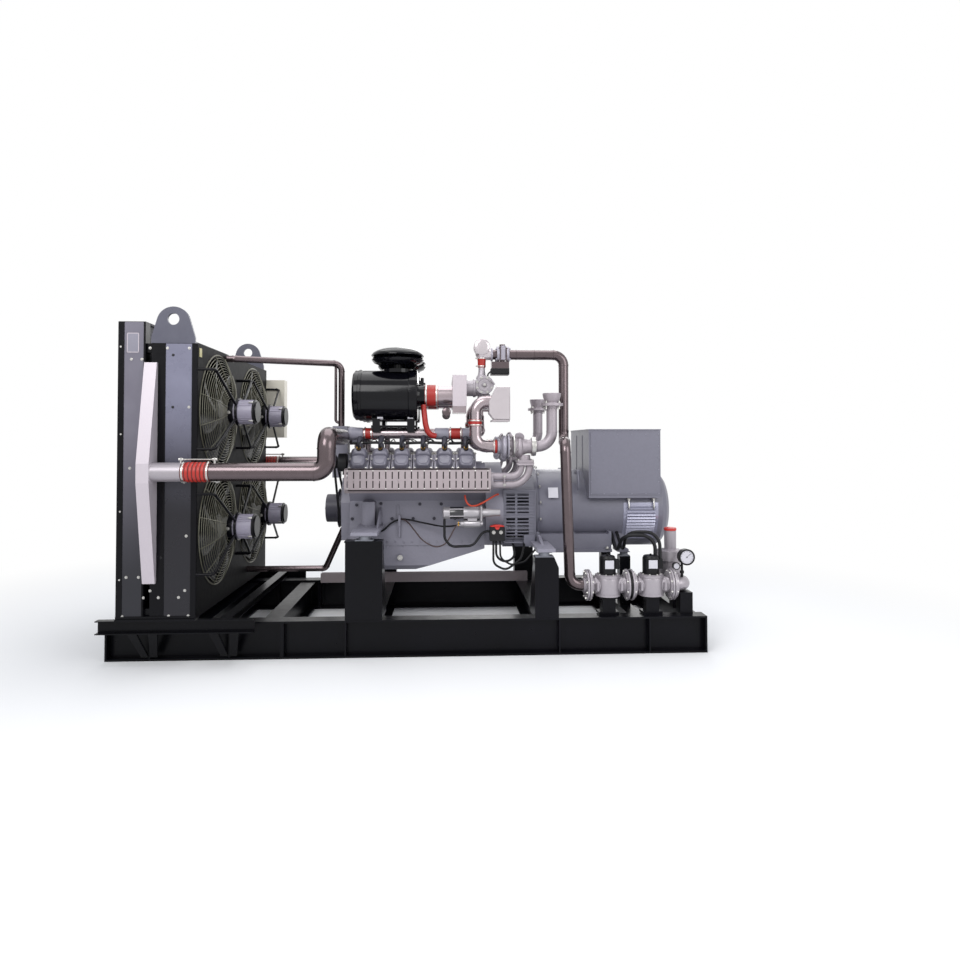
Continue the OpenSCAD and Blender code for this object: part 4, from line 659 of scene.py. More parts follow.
# Points round a rocker cover's rim
COVER_POINTS = 40


def on_bank(shape):
    """From bank places (along the shaft, outward, up the bank) to the set's own: y = -(s + t)/sqrt 2,
    z = shaft + (s - t)/sqrt 2, for the near bank."""
    x, t, s = shape[0].T
    return np.stack([x, -(s + t) / math.sqrt(2), SHAFT_Z + (s - t) / math.sqrt(2)], -1), shape[1]


def cover_outline(wide, inner, outer):
    """Rim of a rocker cover: a superellipse x = w |cos|^p, t = h |sin|^q about t = 33, square towards the
    intake and round towards the exhaust."""
    a = np.arange(COVER_POINTS) / COVER_POINTS * TAU
    c, s = np.cos(a), np.sin(a)
    x = wide * np.sign(c) * np.abs(c) ** 0.55
    t = 33 + np.where(s < 0, inner * np.sign(s) * np.abs(s) ** 0.45, outer * np.sign(s) * np.abs(s) ** 0.85)
    return np.stack([x, t], -1)


def rocker_cover():
    """Cast cover: the outline carried up through the steps (height, half width, inner and outer depth) of
    its flange, drawn-in wall, rolled shoulder and raised panel, and a hood over the coil behind it."""
    steps = [(0, 64, 62, 64), (9, 64, 62, 64), (11, 57, 55, 57), (44, 54, 53, 55), (54, 51, 50, 52),
             (60, 45, 44, 46), (61, 41, 40, 42), (58.5, 38, 37, 39), (58.5, 36, 35, 37), (62, 34, 33, 35),
             (63.5, 20, 20, 20)]
    rings = [np.concatenate([cover_outline(w, i, o), np.full((COVER_POINTS, 1), DECK + s)], 1)
             for s, w, i, o in steps]
    hood = [(0, 60, -99, -22), (30, 58, -97, -26), (48, 50, -92, -32), (60, 40, -84, -40), (62, 30, -78, -46)]
    hoods = []
    for s, w, t0, t1 in hood:
        o = rounded(-w, t0, w, t1, 14)
        hoods.append(np.concatenate([o, np.full((len(o), 1), DECK + s)], 1))
    lugs = [turned("z", (x, t, DECK), [(0, 11), (14, 11), (16, 9)], 16) for x in (-58, 58) for t in (-14, 74)]
    return join(loft(np.array(rings)), loft(np.array(hoods)), *lugs)


put("rocker_castings", pair(on_bank(repeat(rocker_cover(), [(x, 0, 0) for x in BANK]))),
    COVER, replaces=["rocker_covers"], sharp=40)
cover_bolts = [(x + dx, t, DECK + 15) for x in BANK for dx in (-58, 58) for t in (-14, 74)]
put("cover_bolts", pair(on_bank(bolts("z", cover_bolts, 6.5, 7))), ZINC)
boot = turned("z", (0, -70, DECK), [(56, 15), (58, 18), (66, 18), (68, 12), (92, 11), (94, 8), (94, 0)], 20)
put("coil_boots", pair(on_bank(repeat(boot, [(x, 0, 0) for x in BANK]))), RUBBER)
ring = turned("z", (0, -70, DECK), [(74, 11), (74, 14), (82, 14), (82, 11)], 20, loop=True)
put("coil_rings", pair(on_bank(repeat(ring, [(x, 0, 0) for x in BANK]))), BRASS)


def lead(x, k):
    """Ignition lead: out of its boot up the bank, over and down into the loom above it."""
    bend = 12 * math.sin(2.1 * k)
    start = on_bank((np.array([(x, -70, DECK + 92), (x, -70, DECK + 112)], float), []))[0]
    return tube(eased([*start, (x + 22 + bend, -352, 1462), (x + 52, -322, 1470),
                       (x + 74 - bend, -300, 1452), (x + 92, -298, 1443)]), 4.2, 8)


loom = tube(eased([(-470, -298, 1440), (-300, -300, 1446), (-120, -297, 1440), (80, -300, 1446),
                   (260, -297, 1440), (420, -300, 1444), (470, -292, 1432)]), 11, 10)
put("ignition_loom", pair(join(loom, *[lead(x, k) for k, x in enumerate(BANK)])), RUBBER)
put("loom_clips", pair(repeat(
    turned("x", (0, -299, 1442), [(-6, 11.5), (-6, 14), (6, 14), (6, 11.5)], 20, loop=True),
    [(x, 0, 0) for x in (-400, -240, -80, 80, 240, 380)])), ZINC)
# Head bolts between the covers, core plugs and head lugs
head_bolts = [(x + dx, t, DECK) for x in BANK for dx in (-70, 70) for t in (-86, 92)]
put("head_bolts", pair(on_bank(bolts("z", head_bolts, 8, 9))), ZINC)
head_lugs = join(turned("y", (0, 100, 465), [(0, 15), (4, 15), (4, 11), (5, 11), (5, 0)], 20),
                 brick((-66, 99, 408), (-52, 106, 512), 2), brick((52, 99, 408), (66, 106, 512), 2))
put("head_lugs", pair(on_bank(repeat(head_lugs, [(x, 0, 0) for x in BANK]))), CAST)

# Crankcase side: plugs, the bolts of the sump's joint, the drain plug and the foot bolts
block_bolts = [*[(x, 877) for x in (-472, -177, -20, 137, 294)],
               (-440, 980), (-260, 990), (30, 985), (190, 985)]
# The block bolts are engine grey: painted dark grey all over as painted shade for the dark outline they show
put("block_bolts", pair(bolts("y", [(x, -256.5, z) for x, z in block_bolts], 9, 6, -1)), DAMPER)
put("sump_bolts", pair(bolts("y", [(x, -253.5, 702) for x in range(-462, 500, 62)], 6.5, 6, -1,
                             washer=False)), ENGINE)
put("drain_plug", pair(bolts("y", [(-116, -266, 587)], 15, 9, -1)), ZINC)
put("foot_bolts", pair(bolts("z", [(x, y, 820) for x in (-400, -260) for y in (-650, -560)], 12, 12)), ZINC)

put("block_harness", tube(eased([(-256, -262, 782), (-225, -266, 804), (-178, -270, 848), (-120, -272, 872),
                                 (-60, -280, 872), (20, -300, 858), (110, -330, 842), (204, -380, 832),
                                 (290, -430, 842), (330, -452, 858)], 6), 6.5, 10), RUBBER)
put("harness_clips", join(
    brick((-130, -284, 820), (-112, -250.5, 905), 2),
    brick((-128, -274, 740), (-114, -250.5, 822), 2),
    turned("x", (-120, -272, 872), [(-6, 7), (-6, 10), (6, 10), (6, 7)], 16, loop=True)), ENGINE)

# Crankshaft damper: its rim and its bolts
put("damper_rims", turned("x", (0, 0, SHAFT_Z), [(-700, 0), (-700, 40), (-697, 60), (-697, 100),
                                                 (-693, 108), (-608, 108), (-606, 100), (-606, 0)], 64),
    DAMPER, body="crank_damper", sharp=30)
put("damper_bolts", bolts("x", circle_of("x", (-700, 0, SHAFT_Z), 30, 6), 9, 10, -1), ZINC,
    body="crank_damper")

# Slotted shield: a dark sheet behind the slots as painted shade in them, and rivets
put("shield_slot_shade", pair(brick((-466, -563, 1104), (536, -559, 1263), 0.5)), LAGGING)
put("shield_rivets", pair(repeat(turned("y", (0, -570, 0), [(0, 5), (-2, 4.4), (-3.4, 2)], 12),
                                 [(x, 0, z) for x in range(-468, 540, 90) for z in (1121, 1247)])), ZINC)

# Turbochargers
# Upright axis of the exhaust outlet
OUTLET_X = 1006


def volute(x, at_y, z, big, r0, r1, wide, turn):
    """Spiral casing: a tube whose radius r grows evenly from r0 to r1 as it goes round the shaft. Its
    centre stays at big + r, so the inner wall is a true cylinder and the outer one a spiral."""
    a = np.linspace(0, TAU * 0.97, 48)
    r = r0 + (r1 - r0) * a / TAU
    b = np.arange(14) / 14 * TAU
    rho = big + r[:, None] * (1 + np.cos(b)[None, :])
    along = wide * r[:, None] * np.sin(b)[None, :]
    w = a[:, None] + turn
    return loft(np.stack([x + along, at_y + rho * np.cos(w), z + rho * np.sin(w)], -1))


y, z = -TURBO_Y, TURBO_Z
TURBO_AT = (0, y, z)
put("compressor_volutes", pair(join(
    volute(652, y, z, 46, 13, 24, 0.95, -1.2),
    turned("x", TURBO_AT, [(602, 44), (602, 53), (612, 54), (622, 50), (632, 60), (640, 78), (668, 80),
                           (676, 66), (676, 44)], 48, loop=True),
    tube(eased([(652, y - 8, z - 72), (652, y + 50, z - 88), (646, y + 108, z - 78)]),
         np.linspace(24, 28, 21), 16),
    turned("x", TURBO_AT, [(676, 70), (676, 92), (686, 92), (686, 70)], 48, loop=True))),
    CAST, replaces=["turbochargers"], sharp=45)
put("turbo_cores", pair(join(
    turned("x", TURBO_AT, [(680, 0), (680, 52), (690, 44), (708, 42), (716, 52), (722, 60), (722, 0)], 40),
    brick((688, y - 22, z - 62), (714, y + 22, z - 36), 3),
    brick((690, y - 18, z + 34), (712, y + 18, z + 58), 3),
    tube(eased([(701, y, z + 56), (701, y + 10, z + 90), (690, y + 60, z + 96),
                (660, y + 130, z + 40)]), 8, 10),
    tube(eased([(701, y, z - 60), (701, y + 6, z - 110), (690, y + 50, z - 150),
                (670, y + 110, z - 190)]), 12, 10))), EXHAUST)
put("turbine_volutes", pair(join(
    volute(764, y, z, 40, 17, 34, 1.05, 2.2),
    turned("x", TURBO_AT, [(722, 0), (722, 72), (730, 76), (742, 70), (752, 62), (800, 60), (812, 54),
                           (826, 52), (858, 52), (860, 64), (880, 64), (880, 40), (878, 0)], 48),
    tube([(800, y, z - 62), (800, y, z - 118)], [44, 50], 20),
    plate(rounded(738, y - 96, 862, y + 50, 16), "z", z - 116.5, z - 100, 2))), EXHAUST, sharp=45)
put("turbo_clamps", pair(join(
    turned("x", TURBO_AT, [(715, 70), (715, 78), (719, 82), (727, 82), (731, 78),
                           (731, 70)], 44, loop=True),
    turned("x", TURBO_AT, [(852, 62), (854, 69), (868, 71), (884, 69), (886, 62)], 44, loop=True),
    bolts("x", circle_of("x", (686, y, z), 86, 8, 10), 6, 6),
    bolts("x", circle_of("x", (742, y, z), 66, 8, 20), 6.5, 7),
    bolts("z", [(x, y + dy, z - 100) for x in (750, 850) for dy in (-84, 38)], 8, 9))), ZINC)

# Riser from the manifold and exhaust outlet: clamp plates, bolts, studs and collars
put("riser_clamps", pair(join(
    brick((546, -492, 1112), (562, -398, 1228), 4), brick((640, -490, 1130), (652, -410, 1212), 4),
    brick((741, -496, 1278), (859, -408, 1290), 4))), EXHAUST)
put("riser_bolts", pair(bolts("y", [(554, -492, 1126), (554, -492, 1214), (646, -490, 1140),
                                    (646, -490, 1202)], 7, 7, -1)), ZINC)
put("exhaust_flange_studs", pair(join(
    bolts("z", circle_of("z", (OUTLET_X, y, 1736), 68, 4, 45), 9, 9),
    bolts("z", circle_of("z", (OUTLET_X, y, 1716), 68, 4, 45), 9, 8, -1),
    repeat(turned("z", (0, 0, 1690), [(0, 5), (62, 5)], 12), circle_of("z", (OUTLET_X, y, 0), 68, 4, 45)))),
    ZINC)
put("exhaust_collars", pair(join(
    turned("z", (OUTLET_X, y, 0), [(1737, 41), (1737, 53), (1742, 53), (1748, 55), (1768, 60), (1790, 66),
                                   (1808, 68), (1810, 66), (1790, 62), (1760, 50),
                                   (1748, 41)], 44, loop=True),
    turned("z", (OUTLET_X, y, 0), [(1700, 41), (1700, 48), (1716, 50),
                                   (1716, 41)], 40, loop=True))), EXHAUST)

# Intake side
put("intake_castings", pair(join(
    turned("x", INTAKE_AT, [(-500, 38), (-500, 46), (-486, 52), (-470, 50), (-440, 46), (-400, 44),
                            (-392, 38)], 40, loop=True),
    turned("x", INTAKE_AT, [(142, 37.2), (142, 41), (150, 43), (236, 43), (246, 41),
                            (246, 37.2)], 40, loop=True),
    turned("x", INTAKE_AT, [(348, 37), (348, 43), (430, 44), (446, 40), (446, 37)], 40, loop=True),
    brick((-478, -262, 1430), (-430, -238, 1480), 5))), ENGINE)
# The intake runners are grey engine enamel: painted dark grey as painted shade, where they lie between the
# covers and the manifold
put("intake_risers", pair(join(*[
    tube(bends([(x, -268, 1490), (x, -300, 1440), (x, -300, 1400)], 24), 22, 16) for x in BANK])), DAMPER)

# Air filters: end lids with pressed rings, rolled bands, latches and gauges
put("filter_lids", pair(join(
    turned("x", FILTER_AT, [(-461, 0), (-461, 60), (-457, 66), (-461, 72), (-461, 120), (-457, 126),
                            (-461, 132), (-461, 160), (-455, 178), (-446, 187), (-440, 187),
                            (-440, 0)], 72),
    turned("x", FILTER_AT, [(-418, 186), (-418, 191.5), (-414, 192), (-400, 192), (-396, 191.5),
                            (-396, 186)], 72, loop=True),
    turned("x", FILTER_AT, [(-48, 186), (-48, 191.5), (-44, 192), (4, 192), (10, 190),
                            (10, 186)], 72, loop=True),
    turned("x", FILTER_AT, [(12, 76), (12, 90), (22, 84), (44, 80), (64, 80),
                            (64, 76)], 48, loop=True))), FILTER)
latch = brick((-21, -FILTER_Y - 13, FILTER_Z + 184), (21, -FILTER_Y + 13, FILTER_Z + 197), 2)
put("filter_latches", pair(spun(repeat(latch, [(-262, 0, 0), (-38, 0, 0)]), "x", 156, FILTER_AT)), LABEL)
# Service gauge and its hose boss at the filter's outlet
put("filter_gauges", pair(join(
    turned("z", (44, -FILTER_Y + 30, FILTER_Z + 60), [(0, 9), (38, 9), (40, 13), (74, 13), (76, 10)], 20),
    turned("z", (30, -FILTER_Y - 22, FILTER_Z + 66), [(0, 6), (20, 6), (22, 10), (44, 10)], 16))), RUBBER)


def cap_ribs():
    """Ribs under the rain cap's two brims, each a thin upright plate on the brims' inner curve."""
    rib = plate([(70, 1994), (120, 1996), (150, 2030), (176, 2048), (190, 2075), (176, 2090), (120, 2100),
                 (70, 2100)], "y", -1.5, 1.5, 0.5)
    return join(*[spun(rib, "z", k * 12) for k in range(30)])


CAP_X = -137
cap = join(
    cap_ribs(),
    turned("z", (0, 0, 0), [(2086, 30), (2088, 190), (2094, 198.5), (2100, 198), (2118, 184), (2134, 156),
                            (2146, 120), (2153, 70), (2156, 30), (2156, 0), (2086, 0)], 72),
    turned("z", (0, 0, 0), [(2020, 120), (2028, 150), (2040, 178), (2058, 192), (2066, 196), (2070, 192),
                            (2056, 172), (2044, 146), (2036, 120)], 72, loop=True),
    turned("z", (0, 0, 0), [(1993, 0), (1993, 84), (2014, 86), (2060, 90), (2090, 90), (2090, 0)], 48))
put("rain_cowls", pair(moved(cap, (CAP_X, -FILTER_Y, 0))), FILTER, replaces=["rain_cap"], sharp=40)
put("breather_hoses", tube(eased([(58, -304, 1724), (60, -312, 1690), (66, -322, 1640), (74, -326, 1580),
                                  (90, -322, 1530), (116, -314, 1503),
                                  (146, -300, 1494)]), 21, 20), SILICONE)
put("blow_off_caps", pair(turned("y", (228, 0, 1672), [(-372, 0), (-372, 18), (-368, 29), (-358, 33),
                                                       (-340, 33), (-332, 26), (-310, 24), (-290, 24),
                                                       (-290, 0)], 32)), STAINLESS)

# Gas mixer, its valve and their fittings
MIXER_AT, STACK_AT, GAS_PIPE_AT = (514, 0, 1880), (497, -200, 0), (0, -200, 2117)
GAS_PIPE_DOWN_AT = (1126, -200, 0)
put("mixer_bodies", join(
    turned("y", MIXER_AT, [(-268, 0), (-268, 66), (-264, 70), (-108, 70), (-108, 0)], 56),
    turned("y", MIXER_AT, [(-270, 0), (-270, 22), (-271, 26), (-271, 44), (-274, 48), (-274, 68),
                           (-271, 71), (-262, 71), (-262, 0)], 56),
    turned("y", MIXER_AT, [(-290, 0), (-290, 9), (-286, 14), (-270, 16), (-270, 0)], 24),
    turned("x", (0, -200, 1859), [(376, 0), (376, 60), (430, 60), (430, 66), (432, 68), (448, 68),
                                  (450, 66), (450, 60), (496, 60), (496, 0)], 52),
    brick((470, -215, 1700), (560, -60, 1816), 6),
    brick((536, -338, 1700), (600, -215, 1770), 4),
    turned("z", STACK_AT, [(1930, 0), (1930, 44), (1944, 42), (1962, 30), (1990, 25), (2036, 25),
                           (2036, 0)], 44),
    brick((574, -340, 1700), (588, -330, 1800), 3),
    tube([(560, -300, 1915), (590, -300, 1880)], 7, 10)), TRAIN, replaces=["gas_mixer"], sharp=36)
put("mixer_heads", join(
    turned("z", STACK_AT, [(2086, 0), (2086, 33), (2092, 37), (2108, 46), (2120, 50), (2120, 0)], 44),
    turned("x", GAS_PIPE_AT, [(497, 0), (497, 42), (567, 42), (567, 0)], 40),
    turned("y", (497, 0, 2172), [(-254, 0), (-254, 38), (-251, 56), (-246, 61.5), (-238, 61.5), (-236, 58),
                                 (-160, 58), (-158, 61.5), (-150, 61.5), (-150, 0)], 56)), SHINY, sharp=36)
put("mixer_bolts", join(bolts("y", circle_of("y", (514, -274, 1880), 58, 8, 22.5), 7, 7, -1),
                        bolts("y", [(514, -290, 1880)], 8, 8, -1)), ZINC)
put("mixer_hoses", turned("z", STACK_AT, [(2018, 25), (2018, 28), (2021, 30), (2060, 31), (2096, 35),
                                          (2098, 33), (2098, 25)], 40, loop=True), SILICONE)
put("mixer_clamps", join(
    band("z", (497, -200, 2027), 29.8, 8, 200), band("z", (497, -200, 2087), 33.6, 8, 200)), ZINC)
put("actuator_covers", join(
    plate([(536, 1658), (536, 1742), (592, 1856), (692, 1856), (692, 1613), (572, 1613)], "y", -446, -338, 5),
    plate([(560, 1600), (560, 1612), (690, 1612), (690, 1600)], "y", -442, -222, 3)), SHINY)
put("gas_valve_parts", join(
    turned("x", GAS_PIPE_AT, [(566, 40), (566, 50), (572, 52), (580, 50), (580, 40)], 36),
    turned("x", GAS_PIPE_AT, [(612, 40), (612, 62), (616, 64), (626, 64), (630, 62), (630, 46), (686, 46),
                              (686, 62), (690, 64), (700, 64), (704, 62), (704, 40)], 40),
    brick((638, -252, 2070), (678, -148, 2166), 6),
    turned("z", (658, -200, 0), [(2160, 24), (2184, 24), (2190, 18), (2190, 0), (2160, 0)], 24),
    *[repeat(turned("x", (0, 0, 0), [(x0, r), (x1, r)], n), circle_of("x", GAS_PIPE_AT, 56, 4, 45))
      for x0, x1, r, n in ((606, 710, 5, 10), (602, 612, 9, 6), (704, 714, 9, 6))]), CAST)
put("valve_actuators", join(
    brick((566, -264, 1962), (704, -136, 2010), 6), brick((574, -258, 2008), (696, -142, 2056), 8),
    *[brick((x, -266, 1970), (x + 5, -262, 2004), 1) for x in range(580, 696, 12)],
    tube(eased([(572, -226, 1990), (545, -236, 1966), (540, -240, 1930), (548, -240, 1890)]), 6, 10)), RUBBER)
put("pipe_rings", join(
    *[turned("x", GAS_PIPE_AT, [(x - 3, 38), (x - 2, 40.5), (x + 2, 40.5), (x + 3, 38)], 36, loop=True)
      for x in (760, 900, 1046)],
    *[turned("z", GAS_PIPE_DOWN_AT, [(z - 3, 38), (z - 2, 40.5), (z + 2, 40.5), (z + 3, 38)], 36, loop=True)
      for z in (2036, 1540)]), STAINLESS)
put("air_boxes", join(brick((273.5, -331.5, 1715.5), (377.5, 331.5, 1948.5), 1.2),
                      pair(brick((273, -334, 1715), (378, -330, 1949), 1.2)),
                      pair(brick((300, -150, 1711), (352, -120, 1716), 2))), SHEET)

# Starter and battery switch, on the near side
STARTER_Y, STARTER_Z = -450, 937
STARTER_AT = (0, STARTER_Y, STARTER_Z)
# The solenoid lies below the motor, and its terminals stand at these offsets from its axis
SOLENOID_Y, SOLENOID_Z = STARTER_Y - 4, STARTER_Z - 78
SOLENOID_AT = (0, SOLENOID_Y, SOLENOID_Z)
TERMINALS = ((-10, 8), (-10, -10), (8, 0))
put("starter_parts", join(
    turned("x", STARTER_AT, [(200, 0), (200, 20), (203, 38), (208, 44), (252, 44), (254, 41),
                             (256, 0)], 40),
    turned("x", STARTER_AT, [(352, 0), (352, 44), (360, 45), (470, 45), (478, 40), (486, 34), (540, 30),
                             (560, 26), (617, 24), (617, 0)], 40),
    turned("x", SOLENOID_AT, [(352, 0), (352, 24), (356, 27), (470, 27), (474, 20), (492, 16),
                              (492, 0)], 32),
    turned("x", SOLENOID_AT, [(330, 0), (330, 20), (352, 22), (352, 0)], 24),
    *[turned("x", (0, SOLENOID_Y + dy, SOLENOID_Z + dz), [(306, 0), (306, 5), (330, 5), (330, 0)], 12)
      for dy, dz in TERMINALS],
    *[tube([(x, STARTER_Y + 45 * math.cos(a), STARTER_Z + 45 * math.sin(a)) for x in (250, 358)], 4, 8)
      for a in (2.4, 3.6)],
    brick((470, STARTER_Y - 62, STARTER_Z - 60), (486, STARTER_Y + 40, STARTER_Z + 52), 4),
    brick((380, STARTER_Y - 34, STARTER_Z - 60), (450, STARTER_Y + 10, STARTER_Z - 36), 3)),
    STARTER, replaces=["starter_motor"], sharp=40)
put("starter_nuts", join(*[turned("x", (0, SOLENOID_Y + dy, SOLENOID_Z + dz), [(311, 9), (320, 9)], 6)
                           for dy, dz in TERMINALS]), BRASS)
put("starter_bodies", join(
    turned("x", STARTER_AT, [(254, 0), (254, 43), (258, 44.5), (350, 44.5), (354, 43), (354, 0)], 40),
    brick((356, -420, STARTER_Z - 61), (464, -250, STARTER_Z - 9), 4)), BLACK_PIPE)
put("switch_parts", join(
    plate(rounded(543, 727, 654, 832, 10), "y", -434, -378, 3),
    brick((556, -380, 745), (640, -296, 812), 4),
    *[turned("y", (x, 0, 792), [(-436, 0), (-436, 13), (-433, 14), (-433, 0)], 20) for x in (572, 625)]),
    RUBBER, replaces=["battery_switch"])
put("switch_keys", join(
    plate([(548, 832), (649, 832), (649, 838), (612, 846), (585, 846), (548, 838)], "y", -436, -380, 2),
    plate([(578, 830), (619, 830), (606, 812), (591, 812)], "y", -438, -434, 1)), RED)
put("switch_studs", bolts("y", [(572, -436, 792), (625, -436, 792)], 10, 12, -1), ZINC)

# Alternator


def louvre_cover():
    """Pressed cover that follows the barrel: its skin lies between the arcs r = 299 and r = 303, from 47
    degrees below the shaft to 11 above, and each louvre is a lip r = 303 + 14 (1 - u)^0.7, u from 0 to 1
    up its height."""
    low, high = math.radians(-47), math.radians(11)
    louvres, louvre_turn = 11, 0.062

    def arc(r, a):
        return np.stack([-r * np.cos(a), SHAFT_Z + r * np.sin(a)], -1)

    a = np.linspace(low, high, 40)
    parts = [plate(np.concatenate([arc(299, a), arc(303, a)[::-1]]), "x", 1563, 1830, 0.8)]
    t = np.linspace(0, louvre_turn, 6)
    lip = 303 + 14 * (1 - t / louvre_turn) ** 0.7
    for k in range(louvres):
        a = low + (high - low - 0.13) * (k + 0.6) / louvres
        parts.append(plate(np.concatenate([arc(lip, a + t), arc(300, a + t[::-1])]), "x", 1588, 1806, 1))
    return join(*parts)


# The whole pressed cover takes the lighter enamel, a painted highlight
put("louvre_covers", pair(louvre_cover()), LIPS, sharp=24)
# Hook bolts that hold the pressed cover, and the barrel's lifting hooks
hook = tube(eased([(1600, -312, 1012), (1600, -318, 990), (1600, -322, 960), (1600, -312, 944)]), 6, 10)
hook_bolt = join(hook, turned("z", (1600, -312, 0), [(1006, 12), (1020, 12)], 6),
                 brick((1588, -316, 1018), (1612, -290, 1026), 2))
put("hook_bolts", pair(repeat(hook_bolt, [(0, 0, 0), (190, 0, 0)])), ZINC)
put("lifting_hooks", pair(join(
    tube(eased([(1216, -296, 1226), (1216, -310, 1200), (1216, -322, 1160), (1216, -322, 1120),
                (1216, -306, 1090)]), 10, 12),
    brick((1202, -306, 1206), (1230, -230, 1236), 4))), ALTERNATOR)
put("rating_plates", spun(brick((992, -303.2, 1030), (1066, -300.4, 1108), 0.4), "x", -14, (0, -300, 1069)),
    LABEL)
box_screws = [*[(x, 0, z) for x in (1302, 1813) for z in np.linspace(1066, 1508, 6)],
              *[(x, 0, z) for z in (1066, 1508) for x in np.linspace(1400, 1715, 4)]]
put("box_screws", pair(repeat(turned("y", (0, -370, 0), [(0, 4.5), (-2, 4), (-2.8, 2)], 12), box_screws)),
    ENGINE)
put("box_lids", join(brick((1284, -369, 1538), (1832, 369, 1546), 2),
                     *[brick((1283, s * 120 - 2, 1060), (1286, s * 120 + 2, 1500), 0.5) for s in (-1, 1)],
                     pair(brick((1300, -372, 1062), (1815, -369.5, 1064.5), 0.4))), ALTERNATOR)
put("barrel_bolts", pair(join(
    bolts("x", circle_of("x", (928, 0, SHAFT_Z), 322, 16, 11), 9, 9),
    bolts("z", [(x, -372, 660) for x in (930, 1420)], 13, 14))), ZINC)
# Frame round the coupling housing's openings, with a thin bar at each slot's edge
COUPLING_X0, COUPLING_X1 = 648, 892
SLOT_PITCH = 21.5
put("coupling_frames", pair(join(
    *[brick((x, -350, 702), (x + 12, -338, 1092), 2) for x in (COUPLING_X0, COUPLING_X1 - 12)],
    *[brick((COUPLING_X0, y0, z0), (COUPLING_X1, y0 + 12, z1), 2)
      for y0, z0, z1 in ((-350, 700, 712), (-352, 1080, 1094), (-351, 888, 902))],
    *[brick((656, -349, 716 + SLOT_PITCH * k), (886, -345, 719.5 + SLOT_PITCH * k), 0.8)
      for k in range(17)])), ALTERNATOR)

# Gas train
TRAIN_Y, TRAIN_Z = -650, 449
TRAIN_AT = (0, TRAIN_Y, TRAIN_Z)
VALVES_X = (1357, 1664)
GAUGE_AT, SMALL_GAUGE_AT, REGULATOR_AT = (1914, 0, 641), (1850, 0, 574), (1876, -430, 0)


def train_flange(x):
    """Round flange with a raised face."""
    thick, r = 13, 108
    return turned("x", (x, TRAIN_Y, TRAIN_Z), [(0, 47), (0, r - 2), (2, r), (thick - 2, r), (thick, r - 2),
                                               (thick, 60), (thick + 3, 58),
                                               (thick + 3, 47)], 48, loop=True)


def valve_body(x):
    """Solenoid valve: an upright drum with a bonnet rim, the two necks of the pipe, a pad beside each
    neck."""
    drum = turned("z", (x, TRAIN_Y, TRAIN_Z), [(-78, 0), (-78, 60), (-72, 78), (-64, 85), (-50, 86),
                                               (44, 86), (52, 84), (60, 78), (64, 80), (74, 80), (76, 76),
                                               (76, 0)], 52)
    necks = turned("x", (x, TRAIN_Y, TRAIN_Z), [(-128, 46), (-128, 60), (-118, 58), (-96, 52), (-60, 56),
                                                (60, 56), (96, 52), (118, 58), (128, 60), (128, 46)], 40)
    lugs = join(*[brick((x + dx - 9, TRAIN_Y - 84, TRAIN_Z - 30), (x + dx + 9, TRAIN_Y - 60, TRAIN_Z + 30), 4)
                  for dx in (-84, 84)])
    return join(drum, necks, lugs)


put("train_castings", join(
    *[valve_body(x) for x in VALVES_X],
    *[train_flange(x) for x in (1200, 1217, 1484, 1517, 1793, 1810)],
    turned("x", TRAIN_AT, [(1212, 46), (1212, 50), (1240, 50),
                           (1240, 46)], 36, loop=True)), TRAIN, sharp=40)
put("train_gaskets", join(*[
    turned("x", (x, TRAIN_Y, TRAIN_Z), [(0, 50), (0, 100), (w, 100), (w, 50)], 48, loop=True)
    for x, w in ((1213, 4), (1498, 19), (1806, 4))]), CAP)
put("train_bolts", join(
    *[bolts("x", circle_of("x", (x, TRAIN_Y, TRAIN_Z), 93, 8, 22.5), 8, 9, w)
      for x, w in ((1200, -1), (1230, 1), (1484, -1), (1530, 1), (1793, -1), (1823, 1))],
    *[bolts("z", circle_of("z", (x, TRAIN_Y, TRAIN_Z + 76), 68, 8, 22.5), 6, 6) for x in VALVES_X]), ZINC)
coil = join(
    turned("z", (0, 0, 0), [(72, 0), (72, 58), (76, 60), (82, 60), (84, 57), (186, 57), (192, 53),
                            (200, 51), (204, 46), (204, 0)], 48),
    brick((6, -26, 112), (80, 26, 178), 4),
    turned("z", (0, 0, 0), [(204, 8), (214, 8), (216, 5)], 6))
put("coil_covers", join(*[moved(coil, (x, TRAIN_Y, TRAIN_Z)) for x in VALVES_X]), CAP, replaces=["gas_coils"])
put("coil_labels", join(*[
    brick((x - 30, TRAIN_Y - 59.5, TRAIN_Z + 120), (x + 32, TRAIN_Y - 54, TRAIN_Z + 178), 0.6)
    for x in VALVES_X]), LABEL)
# Pressure gauge: steel case, black bezel, white dial with plain ticks and a hand
put("gauge_cases", join(
    turned("y", GAUGE_AT, [(-620, 0), (-620, 50), (-626, 54), (-668, 54), (-672, 56), (-682, 57),
                           (-685, 54), (-685, 47), (-680, 46), (-678, 0)], 56),
    turned("z", (1893.4, TRAIN_Y + 17.6, 0), [(495, 10), (520, 10), (522, 15), (540, 15), (542, 9),
                                              (600, 9)], 12),
    tube([(1893.4, TRAIN_Y + 17.6, 574), (1852, TRAIN_Y + 17.6, 574)], 6, 10),
    turned("y", SMALL_GAUGE_AT, [(-614, 0), (-614, 24), (-640, 26), (-650, 26), (-652, 22), (-648, 20),
                                 (-648, 0)], 36)), CAP, replaces=["train_gauges"])
put("gauge_dials", join(
    turned("y", GAUGE_AT, [(-678, 0), (-678, 46), (-680, 46), (-680, 0)], 48),
    turned("y", SMALL_GAUGE_AT, [(-648, 0), (-648, 20), (-649, 20), (-649, 0)], 32)), LABEL)
tick = brick((1913, -680.6, 677), (1915, -679.8, 684), 0.1)
